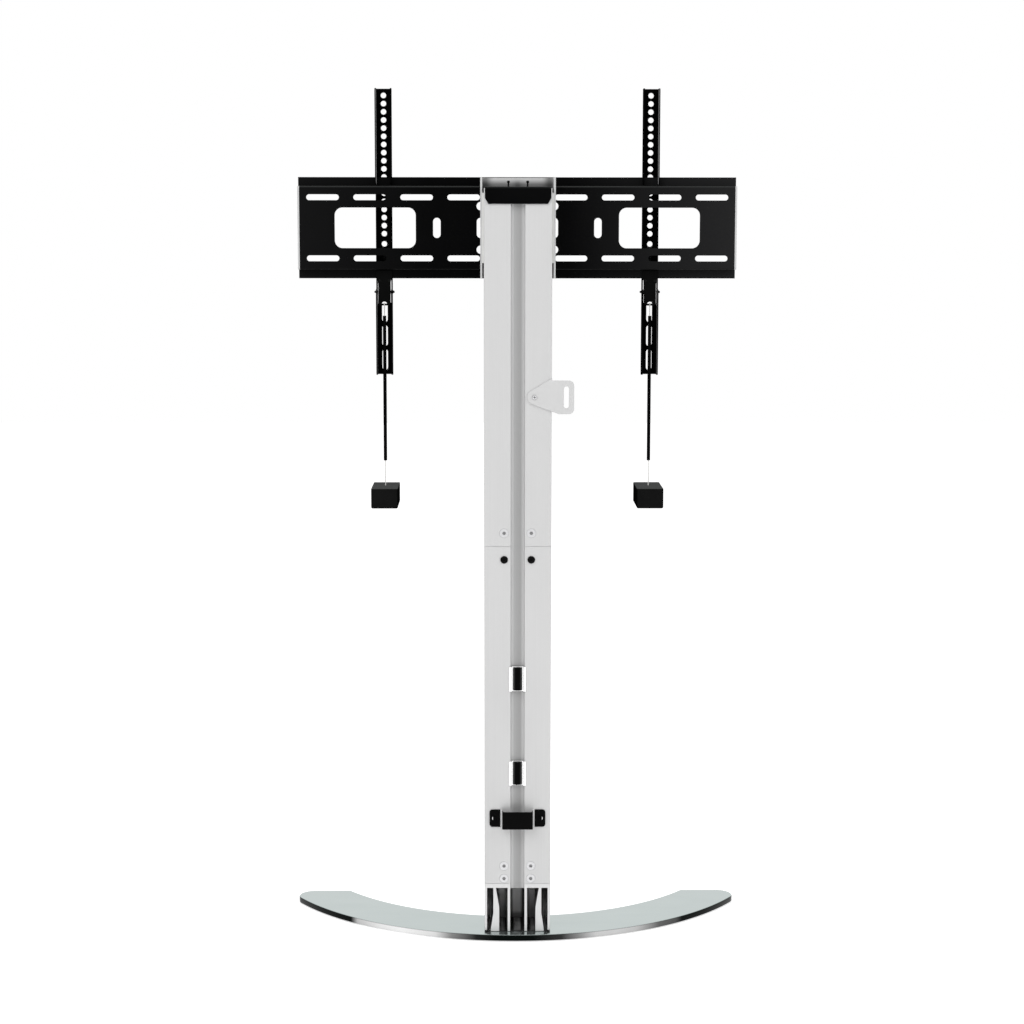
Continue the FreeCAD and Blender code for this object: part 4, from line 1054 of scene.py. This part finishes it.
@dataclass
class Studio:
    """Floor, light and camera. Angles are in degrees, the lens in millimetres."""

    camera_place: Triple = (-0.0442, -3.39975, 1.1157)
    pitch: float = 7.499
    yaw: float = 0.613
    roll: float = 0.045
    lens: float = 75.94
    sensor: float = 36.0
    floor_half: float = 9.0
    floor_grey: float = 0.86
    floor_glow: float = 0.66
    world_light: float = 0.55
    lamps: tuple[Lamp, ...] = (
        Lamp("key", (-1.6, -2.6, 3.2), (0.0, 0.0, 0.7), 2.2, 60.0),
        Lamp("fill", (2.4, -1.8, 2.2), (0.0, 0.0, 0.6), 2.0, 26.0),
        Lamp("rim", (0.6, 2.6, 2.8), (0.0, 0.0, 0.8), 1.8, 30.0),
    )

    def build(self) -> None:
        """Makes the floor, the world, the lamps and the camera."""
        self.floor()
        self.world()
        for lamp in self.lamps:
            self.light(lamp)
        self.camera()
        bpy.context.scene.view_settings.view_transform = "Standard"

    def floor(self) -> None:
        """Pale plain floor, white to the camera and shaded by the stand."""
        corners = ((-1, -1, 0), (1, -1, 0), (1, 1, 0), (-1, 1, 0))
        floor = mesh_object("floor", np.array(corners) * self.floor_half, [[0, 1, 2, 3]])
        g = Graph.of_material("pale_floor")
        diffuse = g.add("ShaderNodeBsdfDiffuse")
        diffuse.inputs["Color"].default_value = (*(self.floor_grey,) * 3, 1.0)
        glow = g.add("ShaderNodeEmission")
        glow.inputs["Strength"].default_value = self.floor_glow
        both = g.add("ShaderNodeAddShader")
        g.link(diffuse.outputs["BSDF"], both.inputs[0])
        g.link(glow.outputs["Emission"], both.inputs[1])
        g.choose(g.studio_rays(), diffuse.outputs["BSDF"], both.outputs["Shader"])
        floor.data.materials.append(g.owner)

    def world(self) -> None:
        """Even studio light; white to the camera and in glossy and clear surfaces."""
        g = Graph.of_world("studio")
        shades = []
        for strength in (self.world_light, 1.0):
            shade = g.add("ShaderNodeBackground")
            shade.inputs["Color"].default_value = (1.0, 1.0, 1.0, 1.0)
            shade.inputs["Strength"].default_value = strength
            shades.append(shade.outputs["Background"])
        g.choose(g.studio_rays(), *shades)
        bpy.context.scene.world = g.owner

    def light(self, lamp: Lamp) -> None:
        """Sets up a lamp that glass and metal don't mirror; they mirror the white studio.

        Args:
            lamp: the lamp.
        """
        data = bpy.data.lights.new(lamp.name, "AREA")
        data.shape = "SQUARE"
        data.size = lamp.size
        data.energy = lamp.power
        thing = scene_object(lamp.name, data)
        thing.visible_glossy = False
        start, end = np.array(lamp.place), np.array(lamp.aim)
        back = (start - end) / np.linalg.norm(start - end)
        right = np.cross((0.0, 0.0, 1.0), back)
        right /= np.linalg.norm(right)
        thing.matrix_world = self.placed(right, np.cross(back, right), back, start)

    def camera(self) -> None:
        """The photograph's camera: its place, and its turn from pitch, yaw and roll."""
        pitch, yaw, roll = (math.radians(angle) for angle in (self.pitch, self.yaw, self.roll))
        ahead = np.array((math.sin(yaw) * math.cos(pitch), math.cos(yaw) * math.cos(pitch),
                          -math.sin(pitch)))
        right = np.array((math.cos(yaw), -math.sin(yaw), 0.0))
        up = np.cross(right, ahead)
        turned_right = right * math.cos(roll) + up * math.sin(roll)
        turned_up = up * math.cos(roll) - right * math.sin(roll)
        data = bpy.data.cameras.new("photo_camera")
        data.lens = self.lens
        data.sensor_width = self.sensor
        data.clip_end = 60.0
        camera = scene_object("photo_camera", data)
        place = np.array(self.camera_place)
        camera.matrix_world = self.placed(turned_right, turned_up, -ahead, place)
        bpy.context.scene.camera = camera

    @staticmethod
    def placed(right: np.ndarray, up: np.ndarray, back: np.ndarray, place: np.ndarray) -> Matrix:
        """A turn and a place as one matrix.

        Args:
            right: the object's own X direction.
            up: its own Y direction.
            back: its own Z direction.
            place: its origin.

        Returns:
            The matrix.
        """
        return Matrix([*np.stack([right, up, back, place], axis=-1).tolist(),
                       (0.0, 0.0, 0.0, 1.0)])


NODE_FINISHES = {
    "base_pads": "clear_pad",
    "base_bushes": "pale_nylon",
    "base_screws": "zinc_screws",
    "foot_gasket": "dark_rubber",
    "foot_section": "silver_foot",
    "lower_column": "silver_column",
    "upper_column": "silver_column",
    "column_splice": "bright_plate",
    "foot_screws": "face_screws",
    "splice_screws": "face_screws",
    "splice_buttons": "black_oxide",
    "clip_frames": "clip_chrome",
    "clip_covers": "clip_covers",
    "cable_bridge": "cable_bridge",
    "bridge_screws": "bridge_screws",
    "ear_bracket": "silver_paint",
    "ear_screw": "ear_screw",
    "head_adapter": "adapter_paint",
    "adapter_fillers": "pale_nylon",
    "hook_cap": "black_powder",
    "cap_screws": "black_oxide",
    "wall_plate": "plate_powder",
    "end_cap_left": "grey_moulding",
    "end_cap_right": "grey_moulding",
    "head_bolts": "zinc_screws",
    "head_washers": "zinc_screws",
    "nut_bars": "bright_plate",
}
ARM_FINISHES = {
    "arm": "arm_powder",
    "latch_pin": "black_oxide",
    "pin_ring": "black_oxide",
    "latch": "latch_moulding",
    "latch_rivets": "black_oxide",
    "latch_spring": "spring_wire",
    "pull_sleeve": "black_moulding",
    "pull_grip": "grip_moulding",
}


def main() -> None:
    """Dresses the stand and sets the studio."""
    logging.basicConfig(level=logging.INFO, format="%(message)s")
    finishes = Finishes()
    Studio().build()
    finishes.dress_nodes(NODE_FINISHES)
    for side in Side:
        finishes.dress_nodes({f"{node}_{side.word}": name for node, name in ARM_FINISHES.items()})
        PullCord(side, finishes).build()
    GlassBase(finishes).build()


if __name__ == "__main__":
    main()
